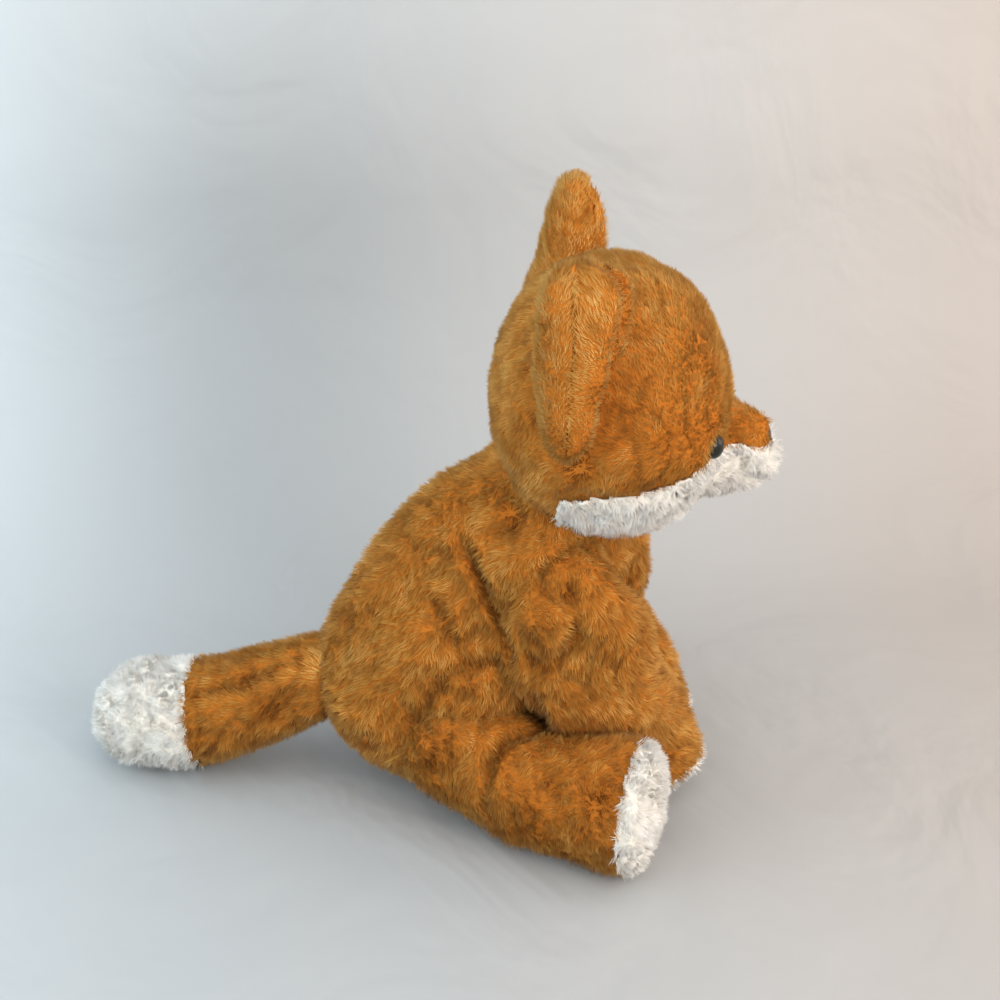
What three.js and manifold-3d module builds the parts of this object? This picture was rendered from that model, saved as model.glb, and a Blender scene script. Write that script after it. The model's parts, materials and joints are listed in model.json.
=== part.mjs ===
// A seated plush fox, as the sewn covers, fillings and small fittings that it is made of.
// Millimetres, +Z up. The fox looks along -Y and its left side is +X.
// The origin is on the floor, in the middle of the flat that the seat rests on.

import * as THREE from 'three';
import { mergeVertices } from 'three/addons/utils/BufferGeometryUtils.js';
import Module from 'manifold-3d';

const wasm = await Module();
wasm.setup();

// Driving dimensions

const PILE = 2;          // how far the brushed pile stands out past the form, over most of the toy
const WALL = 3;          // cloth with its pressed pile
const GAP = 0.3;         // between pieces that touch
const SEAM_PLAY = 1;     // between a moving piece and the one that carries it
const FACET_PLAY = 1;    // added where a limb clears a form that is cut with fewer sides

// Places are given as forward, left and up, with forward counted from the middle of the rump.
// Stations along each stuffed form hold a place, and the half width and half depth there out to
// the tips of the pile. Paired forms are given for the left side.

const SEAT_FORWARD = 20;     // where the seat rests, forward of the middle of the rump

const TORSO = [
  { place: [1, 0, 47.3], wide: 48, deep: 62 },
  { place: [20, 0, 77], wide: 50, deep: 65 },
  { place: [46, 0, 120], wide: 46, deep: 62 },
  { place: [66, 0, 149], wide: 46, deep: 46 },
];
const RUMP_DOME = 44;
const FORELEG = [
  { place: [57, 34, 130], wide: 27, deep: 38 },
  { place: [67, 43, 107], wide: 27, deep: 41 },
  { place: [84, 42, 78], wide: 25, deep: 35 },
  { place: [106, 27, 46], wide: 23, deep: 27 },
  { place: [118.5, 22.5, 15.5], wide: 21, deep: 24.5 },
];
const HIND_LEG = [
  { place: [18, 32, 41], wide: 32, deep: 35 },
  { place: [47, 55, 30], wide: 30, deep: 31 },
  { place: [73, 71, 32], wide: 31, deep: 34 },
  { place: [96, 80.5, 31.8], wide: 33, deep: 35 },
];
const TAIL = [
  { place: [-36, 2, 62], wide: 22, deep: 22 },
  { place: [-62, 6, 52], wide: 25, deep: 25 },
  { place: [-92, 12, 38], wide: 28, deep: 28 },
  { place: [-118, 17, 29], wide: 29, deep: 29 },
  { place: [-141, 21, 28], wide: 28, deep: 28 },
];
const TAIL_SEAM = 0.70;      // share of the tail's stations where the white tip is sewn on
const SHOULDER_DOME = 20;
const FOOT_CROWN = 9;        // how far the sole swells past its seam
const PAW_CROWN = 6;
const FILLING_CROWN = 4;

const HEAD = {
  place: [89, 0, 206],
  front: 56.5,
  back: 58,
  side: 68,
  top: 68,
  bottom: 60,
  fullness: 2.1,             // power of the rounding, 2 for an ellipsoid and more for a fuller form
  belowFullness: 2.3,
};
const HEAD_TURN = -6;        // degrees that the head is sewn round from straight ahead, to the right
const MUZZLE = [
  { place: [112, 0, 183.5], wide: 34, deep: 26 },
  { place: [132, 0, 182.5], wide: 28, deep: 25 },
  { place: [148, 0, 183], wide: 22, deep: 22 },
  { place: [159, 0, 184], wide: 18, deep: 19 },
];
const MUZZLE_CROWN = 9;
const JAW_SEAM = [[62, 181], [100, 186], [134, 193.5], [180, 192]];  // forward and up, orange above it

const EAR = {
  foot: [76, 66, 203],       // lowest point of the leaf's middle line
  tip: [77, 59, 293],
  halfWidth: 32,
  taper: 0.3,                // how much narrower the tip is than the foot
  cup: 17,                   // how far the rim stands forward of the middle
  turnedOut: 14,             // degrees away from straight ahead
  layer: 10.5,               // thickness of one sewn layer at its middle, halfway up
  thinning: 0.5,             // share of that thickness lost from foot to tip
};
const EYE = { place: [135.5, 35, 197], aim: [0.8, 0.6, 0], radius: 5.5, dome: 4 };
const NOSE = { place: [163, 0, 187], aim: [0.93, 0, 0.37], radius: 6, dome: 4 };
const POST_RADIUS = 1.6;
const POST_LENGTH = 9;
const WASHER_RADIUS = 7;
const WASHER_THICK = 1.5;

const NECK_RADIUS = 13;
const NECK_HALF_LENGTH = 11;
const BODY_NECK_HOLE = 25;
const BEAN_BAG = { place: [4, 0, 29], front: 27, back: 27, side: 30, top: 15, bottom: 15, fullness: 2.4 };

// Hinges of the limbs, each with its place, its axis and the turns that the seam allows

const NOD_TURNS = [-8, 8];
const HEAD_TURNS = [-30, 30];
const FORELEG_HINGE = { place: [57, 35, 134], turns: [0, 35] };
const HIND_LEG_HINGE = { place: [20, 34, 40], slant: 45, turns: [0, 20] };
const TAIL_HINGE = { place: [-46, 3, 57], turns: [0, 45] };
const EAR_HINGE = { foot: [72, 67, 206], top: [72, 40, 262], turns: [-8, 20] };
const SWEEP_STEP = 10;       // degrees between the turned copies that clear a limb's root

// Colours of the plush and the fittings

const ORANGE = 0xb4702c;
const PALE_ORANGE = 0xba7a36;
const WHITE = 0xe2dcd0;
const FILLING = 0xf2f0ea;
const PELLET_CLOTH = 0xd8d2c4;
const EYE_BLACK = 0x1a1512;
const NOSE_BROWN = 0x3a2418;
const WASHER_WHITE = 0xe9e7e1;

// Facets round the forms and along them

const TORSO_SIDES = 24;
const FORM_SIDES = 20;
const LIMB_SIDES = 14;
const INSIDE_SIDES = 10;     // of hollows and fillings
const HEAD_ROWS = 10;
const SEAT_ROWS = 12;        // of the round seat in the head, which has to stay clear of the torso
const BAG_ROWS = 6;
const WASHER_SIDES = 12;
const POST_SIDES = 8;
const THROUGH = 60;          // length of a cut that has to pass right through

// Places and directions

const toward = ([forward, left, up], side = 1) => new THREE.Vector3(side * left, -forward, up).normalize();
const at = ([forward, left, up], side = 1) => new THREE.Vector3(side * left, SEAT_FORWARD - forward, up);

function stationsOn(stations, side) {
  return stations.map(({ place: [forward, left, up], wide, deep }) => (
    { place: [forward, side * left, up], wide, deep }));
}

// A closed skin over rings of points, ended by one point at each end

function skinOver(rings, first, last) {
  const sides = rings[0].length;
  const points = [first, ...rings.flat(), last];
  const index = [];
  const ringPoint = (ring, k) => 1 + ring * sides + (k % sides);
  for (let k = 0; k < sides; k += 1) {
    index.push(0, ringPoint(0, k + 1), ringPoint(0, k));
    index.push(points.length - 1, ringPoint(rings.length - 1, k), ringPoint(rings.length - 1, k + 1));
    for (let ring = 0; ring + 1 < rings.length; ring += 1) {
      index.push(ringPoint(ring, k), ringPoint(ring, k + 1), ringPoint(ring + 1, k));
      index.push(ringPoint(ring, k + 1), ringPoint(ring + 1, k + 1), ringPoint(ring + 1, k));
    }
  }
  const geometry = new THREE.BufferGeometry();
  const coordinates = points.flatMap((p) => p.toArray());
  geometry.setAttribute('position', new THREE.Float32BufferAttribute(coordinates, 3));
  return geometry.setIndex(index);
}

// A stuffed form that swells and tapers along its stations, with a rounded dome on each end

function stuffed(stations, inset, choices = {}) {
  const { sides = LIMB_SIDES, rows = 5, domeRows = 3, startDome, endDome } = choices;
  const route = new THREE.CatmullRomCurve3(stations.map(({ place }) => at(place)));
  const sizes = new THREE.CatmullRomCurve3(
    stations.map(({ wide, deep }) => new THREE.Vector3(wide - inset, deep - inset, 0)));
  const ringAt = (t, past, shrink) => {
    const along = route.getTangent(t);
    const across = along.clone().cross(new THREE.Vector3(0, 0, 1)).normalize();
    const through = across.clone().cross(along);
    const centre = route.getPoint(t).addScaledVector(along, past);
    const size = sizes.getPoint(t);
    return Array.from({ length: sides }, (_, k) => {
      const angle = (2 * Math.PI * k) / sides;
      return centre.clone()
        .addScaledVector(across, size.x * shrink * Math.cos(angle))
        .addScaledVector(through, -size.y * shrink * Math.sin(angle));
    });
  };
  const domeAt = (t, depth, outward) => Array.from({ length: domeRows - 1 }, (_, row) => {
    const angle = (Math.PI / 2) * ((row + 1) / domeRows);
    return ringAt(t, outward * depth * Math.sin(angle), Math.cos(angle));
  });
  const roundDepth = (t) => (sizes.getPoint(t).x + sizes.getPoint(t).y) / 2;
  const startDepth = startDome ?? roundDepth(0);
  const endDepth = endDome ?? roundDepth(1);
  const body = Array.from({ length: rows + 1 }, (_, row) => ringAt(row / rows, 0, 1));
  const rings = [...domeAt(0, startDepth, -1).reverse(), ...body, ...domeAt(1, endDepth, 1)];
  const first = route.getPoint(0).addScaledVector(route.getTangent(0), -startDepth);
  const last = route.getPoint(1).addScaledVector(route.getTangent(1), endDepth);
  return skinOver(rings, first, last);
}

// A rounded form about a centre: each direction d is scaled until |x|^n + |y|^n + |z|^n = 1

function rounded(form, inset, { sides = LIMB_SIDES, rows = HEAD_ROWS } = {}) {
  const centre = at(form.place);
  const pointAt = (latitude, longitude) => {
    const x = Math.cos(latitude) * Math.cos(longitude);
    const y = Math.cos(latitude) * Math.sin(longitude);
    const z = Math.sin(latitude);
    const n = z > 0 ? form.fullness : form.belowFullness ?? form.fullness;
    const reach = (Math.abs(x) ** n + Math.abs(y) ** n + Math.abs(z) ** n) ** (-1 / n);
    const depth = y < 0 ? form.front : form.back;
    const height = z > 0 ? form.top : form.bottom;
    return centre.clone().add(new THREE.Vector3(
      x * reach * (form.side - inset), y * reach * (depth - inset), z * reach * (height - inset)));
  };
  const rings = Array.from({ length: rows - 1 }, (_, row) => {
    const latitude = Math.PI * ((row + 1) / rows - 0.5);
    return Array.from({ length: sides }, (__, k) => pointAt(latitude, (2 * Math.PI * k) / sides));
  });
  return skinOver(rings, pointAt(-Math.PI / 2, 0), pointAt(Math.PI / 2, 0));
}

function ball(place, radius) {
  const reaches = { front: radius, back: radius, side: radius, top: radius, bottom: radius };
  return rounded({ place, ...reaches, fullness: 2 }, 0, { sides: TORSO_SIDES, rows: SEAT_ROWS });
}

// A round bar along an axis, and a block whose near face lies on a plane

function bar(start, axis, length, radius, sides = 20) {
  const geometry = new THREE.CylinderGeometry(radius, radius, length, sides);
  geometry.translate(0, length / 2, 0);
  geometry.applyQuaternion(new THREE.Quaternion().setFromUnitVectors(new THREE.Vector3(0, 1, 0), axis));
  return geometry.translate(start.x, start.y, start.z);
}

function beyond(point, direction, size = 400) {
  const geometry = new THREE.BoxGeometry(size, size, size);
  geometry.translate(0, 0, size / 2);
  const upright = new THREE.Vector3(0, 0, 1);
  geometry.applyQuaternion(new THREE.Quaternion().setFromUnitVectors(upright, direction));
  return geometry.translate(point.x, point.y, point.z);
}

// A block as wide as the toy, from an outline of forward and up

function acrossBlock(outline, width = 200) {
  const shape = new THREE.Shape(outline.map(([forward, up]) => new THREE.Vector2(forward, up)));
  const geometry = new THREE.ExtrudeGeometry(shape, { depth: width, bevelEnabled: false });
  const turn = new THREE.Matrix4().makeBasis(
    new THREE.Vector3(0, -1, 0), new THREE.Vector3(0, 0, 1), new THREE.Vector3(-1, 0, 0));
  return geometry.applyMatrix4(turn).translate(width / 2, SEAT_FORWARD, 0);
}

function turned(geometry, place, axis, degrees) {
  const turn = new THREE.Matrix4().makeRotationAxis(axis, THREE.MathUtils.degToRad(degrees));
  return geometry.clone().translate(-place.x, -place.y, -place.z).applyMatrix4(turn)
    .translate(place.x, place.y, place.z);
}

// Joining and cutting

function solid(geometry) {
  const bare = geometry.clone();
  bare.deleteAttribute('normal');
  bare.deleteAttribute('uv');
  const merged = mergeVertices(bare, 1e-4);
  return new wasm.Manifold(new wasm.Mesh({
    numProp: 3,
    vertProperties: new Float32Array(merged.attributes.position.array),
    triVerts: new Uint32Array(merged.index.array),
  }));
}

function geometryOf(whole) {
  const { vertProperties, triVerts } = whole.getMesh();
  const geometry = new THREE.BufferGeometry();
  geometry.setAttribute('position', new THREE.Float32BufferAttribute(vertProperties, 3));
  return geometry.setIndex(Array.from(triVerts));
}

function cutBy(whole, ...tools) {
  return tools.reduce((left, tool) => left.subtract(solid(tool)), whole);
}

// A cut that leaves room for every turn about a hinge: a neighbour is taken away in each place
// that it has, seen from the piece

function clearedOf(whole, neighbour, { place, axis, turns: [least, most] }) {
  const count = Math.max(1, Math.ceil((most - least) / SWEEP_STEP));
  const tools = Array.from({ length: count + 1 }, (_, k) => (
    turned(neighbour, place, axis, -(least + ((most - least) * k) / count))));
  return cutBy(whole, ...tools);
}

const toy = new THREE.Group();
const head = new THREE.Group();
toy.add(head);

function addPiece(name, whole, color, { roughness = 0.95, group = toy } = {}) {
  const geometry = geometryOf(whole);
  geometry.computeVertexNormals();
  const material = new THREE.MeshStandardMaterial({ color, roughness, metalness: 0 });
  const mesh = new THREE.Mesh(geometry, material);
  mesh.name = name;
  group.add(mesh);
}

const UP = new THREE.Vector3(0, 0, 1);
const DOWN = new THREE.Vector3(0, 0, -1);
const floor = beyond(new THREE.Vector3(0, 0, 0), DOWN);

// Neck: the torso ends in a ball about this place, and the head has a round seat on it

const neckPlace = at(TORSO.at(-1).place);
const neckAxis = neckPlace.clone().sub(at(TORSO.at(-2).place)).normalize();
const neckBall = TORSO.at(-1).wide - PILE;
const neckSeat = neckBall + SEAM_PLAY;

const torsoForm = (inset, sides = TORSO_SIDES) => (
  stuffed(TORSO, inset, { sides, rows: 5, domeRows: 4, startDome: RUMP_DOME - inset }));
const torsoApart = (apart) => torsoForm(PILE - apart - FACET_PLAY, LIMB_SIDES);

function addBody() {
  const hole = bar(neckPlace, neckAxis, neckBall * 2, BODY_NECK_HOLE);
  const inside = torsoForm(PILE + WALL, LIMB_SIDES);
  addPiece('body_cover', cutBy(solid(torsoForm(PILE)), floor, inside, hole), ORANGE);
  const swing = neckPlace.clone().addScaledVector(neckAxis, neckBall - 2 * NECK_HALF_LENGTH - SEAM_PLAY);
  const bagFacets = { sides: INSIDE_SIDES, rows: BAG_ROWS };
  const bag = rounded(BEAN_BAG, -GAP, bagFacets);
  const bagMouth = bar(at(BEAN_BAG.place), DOWN, THROUGH, BEAN_BAG.side / 2);
  const filling = solid(torsoForm(PILE + WALL + GAP, LIMB_SIDES));
  const neckRoom = bar(swing, neckAxis, THROUGH, BODY_NECK_HOLE);
  addPiece('body_filling', cutBy(filling, neckRoom, bag, bagMouth), FILLING);
  addPiece('bean_bag', solid(rounded(BEAN_BAG, 0, bagFacets)), PELLET_CLOTH);
  const neckStart = neckPlace.clone().addScaledVector(neckAxis, neckBall - NECK_HALF_LENGTH);
  addPiece('neck_filling', solid(bar(neckStart, neckAxis, 2 * NECK_HALF_LENGTH, NECK_RADIUS)), FILLING);
}

// Head: the orange cover, the white jaw sewn under it, and the filling

const headForm = (inset, sides = FORM_SIDES) => solid(rounded(HEAD, inset, { sides, rows: HEAD_ROWS }))
  .add(solid(stuffed(MUZZLE, inset, { sides: LIMB_SIDES, rows: 3, endDome: MUZZLE_CROWN - inset / 2 })));

function fittingTools({ place, aim, radius }, side, grow) {
  const centre = at(place, side);
  const axis = toward(aim, side);
  const behind = (depth) => centre.clone().addScaledVector(axis, -depth);
  return {
    seat: bar(behind(GAP), axis, THROUGH, radius + grow, WASHER_SIDES),
    post: bar(behind(POST_LENGTH + GAP), axis, POST_LENGTH, POST_RADIUS + grow, POST_SIDES),
    washer: bar(behind(POST_LENGTH + 2 * GAP), axis, THROUGH, WASHER_RADIUS + grow, WASHER_SIDES),
  };
}

const fittings = [[EYE, 1], [EYE, -1], [NOSE, 1]];

// The room that the head needs as it nods and turns, for the forelegs to stay out of

function headRoom(apart) {
  const skull = geometryOf(headForm(PILE - apart - FACET_PLAY, LIMB_SIDES));
  const straight = turned(skull, neckPlace, UP, HEAD_TURN);
  const sideways = new THREE.Vector3(1, 0, 0);
  const places = NOD_TURNS.flatMap((nod) => [...HEAD_TURNS, 0].map((turn) => (
    turned(turned(straight, neckPlace, neckAxis, turn), neckPlace, sideways, nod))));
  return geometryOf(places.map(solid).reduce((left, place) => left.add(place)));
}

function addHead() {
  const seat = ball(TORSO.at(-1).place, neckSeat);
  const lining = ball(TORSO.at(-1).place, neckSeat + WALL);
  const fillingSeat = ball(TORSO.at(-1).place, neckSeat + WALL + GAP);
  const axisInHead = neckAxis.clone().applyAxisAngle(UP, -THREE.MathUtils.degToRad(HEAD_TURN));
  const neckHole = bar(neckPlace, axisInHead, neckBall + NECK_HALF_LENGTH + GAP, NECK_RADIUS + SEAM_PLAY);
  const hollow = cutBy(headForm(PILE + WALL, LIMB_SIDES), lining);
  const tools = fittings.map(([fitting, side]) => fittingTools(fitting, side, GAP));
  const shell = cutBy(
    headForm(PILE).subtract(hollow), seat, neckHole,
    ...tools.flatMap(({ seat: recess, post }) => [recess, post]));
  const underJaw = (inset) => solid(acrossBlock([
    ...JAW_SEAM.map(([forward, up]) => [Math.max(forward, JAW_SEAM[0][0] + inset), up - inset]),
    [JAW_SEAM.at(-1)[0], 0], [JAW_SEAM[0][0] + inset, 0]]));
  addPiece('head_cover', shell.subtract(underJaw(0)), ORANGE, { group: head });
  addPiece('jaw_panel', shell.intersect(underJaw(GAP)), WHITE, { group: head });
  const filling = cutBy(headForm(PILE + WALL + GAP, LIMB_SIDES), fillingSeat, neckHole,
    ...tools.map(({ washer }) => washer));
  addPiece('head_filling', filling, FILLING, { group: head });
}

// Eyes and nose: a domed button on a post, held inside by a pressed washer

function addFitting(name, fitting, side, color) {
  const centre = at(fitting.place, side);
  const axis = toward(fitting.aim, side);
  const arc = Array.from({ length: 5 }, (_, k) => {
    const angle = (Math.PI / 2) * (k / 4);
    return new THREE.Vector2(fitting.radius * Math.cos(angle), fitting.dome * Math.sin(angle));
  });
  arc[4].x = 0;
  const profile = [
    new THREE.Vector2(0, -POST_LENGTH), new THREE.Vector2(POST_RADIUS, -POST_LENGTH),
    new THREE.Vector2(POST_RADIUS, 0), ...arc];
  const turn = new THREE.Quaternion().setFromUnitVectors(new THREE.Vector3(0, 1, 0), axis);
  const button = new THREE.LatheGeometry(profile, WASHER_SIDES).applyQuaternion(turn)
    .translate(...centre.toArray());
  addPiece(name, solid(button), color, { roughness: 0.15, group: head });
  const washerStart = centre.clone().addScaledVector(axis, -POST_LENGTH + GAP);
  const back = washerStart.clone().addScaledVector(axis, -WASHER_THICK);
  const washer = cutBy(
    solid(bar(washerStart, axis, WASHER_THICK, WASHER_RADIUS, WASHER_SIDES)),
    bar(back, axis, THROUGH, POST_RADIUS + GAP, POST_SIDES));
  addPiece(`${name}_washer`, washer, WASHER_WHITE, { roughness: 0.5, group: head });
}

// Ears: two sewn layers each, cupped forward
// Across the leaf s runs from -1 to 1, and along it v from 0 at the foot to 1 at the tip.

function earLayer(side, front) {
  const foot = at(EAR.foot, side);
  const rise = at(EAR.tip, side).sub(foot);
  const up = rise.clone().normalize();
  const out = THREE.MathUtils.degToRad(EAR.turnedOut);
  const ahead = new THREE.Vector3(side * Math.sin(out), -Math.cos(out), 0);
  const across = new THREE.Vector3(side * Math.cos(out), Math.sin(out), 0);
  ahead.addScaledVector(up, -ahead.dot(up)).normalize();
  across.addScaledVector(up, -across.dot(up)).normalize();
  const outline = (v) => EAR.halfWidth * (1 - EAR.taper * v) * Math.sqrt(1 - Math.abs(2 * v - 1) ** 3);
  const pointAt = (v, s, layer) => {
    const thin = Math.sqrt(Math.max(0, (1 - s ** 4) * (1 - (2 * v - 1) ** 6)));
    const bow = EAR.cup * (s ** 2 - 0.5) * (1 - Math.abs(2 * v - 1) ** 4);
    const thick = EAR.layer * thin * (1 + EAR.thinning * (0.5 - v));
    const lift = bow + (front ? 1 : -1) * (GAP + layer * thick);
    return foot.clone().addScaledVector(rise, v)
      .addScaledVector(across, outline(v) * s).addScaledVector(ahead, lift);
  };
  const steps = 8;
  const rings = [0.04, 0.13, 0.27, 0.42, 0.57, 0.72, 0.86, 0.96].map((v) => {
    const outer = Array.from({ length: steps + 1 }, (_, k) => (
      pointAt(v, -Math.cos((Math.PI * k) / steps), 1)));
    const inner = Array.from({ length: steps - 1 }, (_, k) => (
      pointAt(v, Math.cos((Math.PI * (k + 1)) / steps), 0)));
    const ring = [...outer, ...inner];
    return (side > 0) === front ? ring : ring.reverse();
  });
  return skinOver(rings, pointAt(0, 0, 0), pointAt(1, 0, 0));
}

function addEar(label, side) {
  const place = at(EAR_HINGE.foot, side);
  const axis = at(EAR_HINGE.top, side).sub(place).normalize().multiplyScalar(side);
  const skull = rounded(HEAD, PILE - SEAM_PLAY, { sides: FORM_SIDES });
  const hinge = { place, axis, turns: EAR_HINGE.turns };
  const sewn = (front) => clearedOf(solid(earLayer(side, front)), skull, hinge);
  addPiece(`${label}_ear_back`, sewn(false), ORANGE, { group: head });
  addPiece(`${label}_ear_front`, sewn(true), PALE_ORANGE, { group: head });
}

// A limb: the orange tube, its filling, and the white cap sewn over its end
// Each neighbour holds its form, grown by the distance that the limb keeps from it, and the
// hinge between the two.

function addLimb({ name, capName, stations, domes, neighbours }) {
  const whole = (inset, choices) => neighbours.reduce(
    (left, { formApart, hinge }) => clearedOf(left, formApart(SEAM_PLAY + inset - PILE), hinge),
    solid(stuffed(stations, inset, { ...domes, ...choices })));
  const grounded = cutBy(whole(PILE), floor);
  const inside = (inset) => whole(inset, { sides: INSIDE_SIDES, endDome: FILLING_CROWN });
  const end = at(stations.at(-1).place);
  const endAxis = new THREE.CatmullRomCurve3(stations.map(({ place }) => at(place))).getTangent(1);
  const past = (shift) => beyond(end.clone().addScaledVector(endAxis, shift), endAxis);
  addPiece(`${name}_cover`, cutBy(grounded, past(0)).subtract(inside(PILE + WALL)), ORANGE);
  addPiece(capName, grounded.intersect(solid(past(GAP))), WHITE);
  addPiece(`${name}_filling`, cutBy(inside(PILE + WALL + GAP), past(-GAP)), FILLING);
}

function addLegs(label, side) {
  const ahead = at(HIND_LEG.at(-1).place, side).sub(at(HIND_LEG[0].place, side)).setZ(0).normalize();
  const slant = THREE.MathUtils.degToRad(HIND_LEG_HINGE.slant);
  const hip = {
    place: at(HIND_LEG_HINGE.place, side),
    axis: ahead.clone().cross(UP).multiplyScalar(Math.cos(slant))
      .addScaledVector(UP, side * Math.sin(slant)),
    turns: HIND_LEG_HINGE.turns,
  };
  const shoulder = {
    place: at(FORELEG_HINGE.place, side), axis: new THREE.Vector3(-1, 0, 0), turns: FORELEG_HINGE.turns };
  const hindLeg = stationsOn(HIND_LEG, side);
  const hindLegApart = (apart) => stuffed(hindLeg, PILE - apart - FACET_PLAY, { endDome: FOOT_CROWN });
  const hipSeenFromForeleg = { ...hip, turns: hip.turns.map((turn) => -turn).reverse() };
  addLimb({
    name: `${label}_foreleg`, capName: `${label}_paw_pad`, stations: stationsOn(FORELEG, side),
    domes: { startDome: SHOULDER_DOME, endDome: PAW_CROWN },
    neighbours: [
      { formApart: torsoApart, hinge: shoulder },
      { formApart: hindLegApart, hinge: hipSeenFromForeleg },
      { formApart: headRoom, hinge: shoulder },
    ],
  });
  addLimb({
    name: `${label}_hind_leg`, capName: `${label}_sole`, stations: hindLeg,
    domes: { endDome: FOOT_CROWN }, neighbours: [{ formApart: torsoApart, hinge: hip }],
  });
}

// Tail: an orange tube with a white tip, both open at their seam round one filling

function addTail() {
  const root = { place: at(TAIL_HINGE.place), axis: new THREE.Vector3(1, 0, 0), turns: TAIL_HINGE.turns };
  const whole = (inset, sides) => (
    clearedOf(solid(stuffed(TAIL, inset, { sides })), torsoApart(SEAM_PLAY + inset - PILE), root));
  const route = new THREE.CatmullRomCurve3(TAIL.map(({ place }) => at(place)));
  const seam = route.getPoint(TAIL_SEAM);
  const seamAxis = route.getTangent(TAIL_SEAM);
  const past = (shift) => beyond(seam.clone().addScaledVector(seamAxis, shift), seamAxis);
  const grounded = cutBy(whole(PILE), floor);
  const hollow = whole(PILE + WALL, INSIDE_SIDES);
  addPiece('tail_cover', cutBy(grounded, past(0)).subtract(hollow), ORANGE);
  addPiece('tail_tip', grounded.intersect(solid(past(GAP))).subtract(hollow), WHITE);
  addPiece('tail_filling', whole(PILE + WALL + GAP, INSIDE_SIDES), FILLING);
}

addBody();
addHead();
addFitting('left_eye', EYE, 1, EYE_BLACK);
addFitting('right_eye', EYE, -1, EYE_BLACK);
addFitting('nose', NOSE, 1, NOSE_BROWN);
addEar('left', 1);
addEar('right', -1);
addLegs('left', 1);
addLegs('right', -1);
addTail();

// The head is turned as a whole about the upright line through the neck

head.position.copy(neckPlace);
head.rotation.z = THREE.MathUtils.degToRad(HEAD_TURN);
head.children.forEach((mesh) => mesh.position.sub(neckPlace));

export default toy;
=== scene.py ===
# %% [markdown]
# # A seated plush fox
# A toy like this is a set of fur cloth covers. Each is sewn to its shape, stuffed with fibre and
# joined to the next one by hand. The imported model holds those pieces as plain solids, and this
# lesson dresses them: first the cloth of every cover, with its folds, and then the pile that
# stands on the cloth.

import json

import bpy
import numpy as np
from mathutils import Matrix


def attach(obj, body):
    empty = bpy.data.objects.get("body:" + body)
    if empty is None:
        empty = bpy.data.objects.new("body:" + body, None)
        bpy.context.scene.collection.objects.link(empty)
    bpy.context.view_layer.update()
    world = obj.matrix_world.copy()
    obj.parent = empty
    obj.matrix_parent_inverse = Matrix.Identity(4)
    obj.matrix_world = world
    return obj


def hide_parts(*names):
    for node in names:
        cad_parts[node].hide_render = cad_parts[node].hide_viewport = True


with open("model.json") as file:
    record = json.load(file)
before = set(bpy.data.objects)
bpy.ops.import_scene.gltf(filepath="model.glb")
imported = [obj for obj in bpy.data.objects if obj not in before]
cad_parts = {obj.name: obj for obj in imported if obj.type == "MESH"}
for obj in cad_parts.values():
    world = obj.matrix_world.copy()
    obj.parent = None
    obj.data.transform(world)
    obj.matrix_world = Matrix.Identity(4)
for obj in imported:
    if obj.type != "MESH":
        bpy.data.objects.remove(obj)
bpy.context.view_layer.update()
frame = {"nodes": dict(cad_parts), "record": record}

# %% [markdown]
# Sizes are easiest to read in millimetres, and Blender's are metres. Places on the fox are written
# as forward, left and up. Forward is counted from the middle of the rump, which sits 20 mm behind
# the origin, and the fox looks along -Y with its left side at +X.

# %% Places
MM = 0.001
SEAT_FORWARD = 20.0
NECK = (66.0, 0.0, 149.0)
HEAD_TURN = -6.0


def place(forward, left, up):
    """The point x = left, y = SEAT_FORWARD - forward, z = up, in millimetres."""
    return np.array([left, SEAT_FORWARD - forward, up], float)


def places(rows, side=1):
    """Rows of forward, left and up as points, mirrored when side is -1."""
    rows = np.asarray(rows, float)
    return np.stack([side * rows[:, 1], SEAT_FORWARD - rows[:, 0], rows[:, 2]], 1)


def turned_head(points):
    """Points of a head that looks straight ahead, turned by HEAD_TURN about the neck's upright."""
    centre = place(*NECK)
    angle = np.radians(HEAD_TURN)
    cos, sin = np.cos(angle), np.sin(angle)
    x, y = points[..., 0] - centre[0], points[..., 1] - centre[1]
    return np.stack([centre[0] + cos * x - sin * y, centre[1] + sin * x + cos * y, points[..., 2]], -1)


# %% [markdown]
# A stuffed limb swells and tapers along its length, so it is described by a few stations: a place
# on its middle line, and its half width and half depth out to the tips of the pile. A smooth curve
# through the stations gives every place between them.

# %% Stations of the stuffed forms: forward, left, up, half width, half depth
TORSO = np.array([
    [1, 0, 47.3, 48, 62],
    [20, 0, 77, 50, 65],
    [46, 0, 120, 46, 62],
    [66, 0, 149, 46, 46],
], float)
FORELEG = np.array([
    [57, 34, 130, 27, 38],
    [67, 43, 107, 27, 41],
    [84, 42, 78, 25, 35],
    [106, 27, 46, 23, 27],
    [118.5, 22.5, 15.5, 21, 24.5],
], float)
HIND_LEG = np.array([
    [18, 32, 41, 32, 35],
    [47, 55, 30, 30, 31],
    [73, 71, 32, 31, 34],
    [96, 80.5, 31.8, 33, 35],
], float)
TAIL = np.array([
    [-36, 2, 62, 22, 22],
    [-62, 6, 52, 25, 25],
    [-92, 12, 38, 28, 28],
    [-118, 17, 29, 29, 29],
    [-141, 21, 28, 28, 28],
], float)
MUZZLE = np.array([
    [112, 0, 183.5, 34, 26],
    [132, 0, 182.5, 28, 25],
    [148, 0, 183, 22, 22],
    [159, 0, 184, 18, 19],
], float)
CLOTH_DEPTH = 3.9
print("cloth lies", CLOTH_DEPTH, "mm under the tips of the pile")

# %% [markdown]
# Every form is a closed skin over rings of points. The rings follow the curve through the stations,
# and a quarter of an ellipse of shrinking rings closes each end in a dome.

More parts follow.
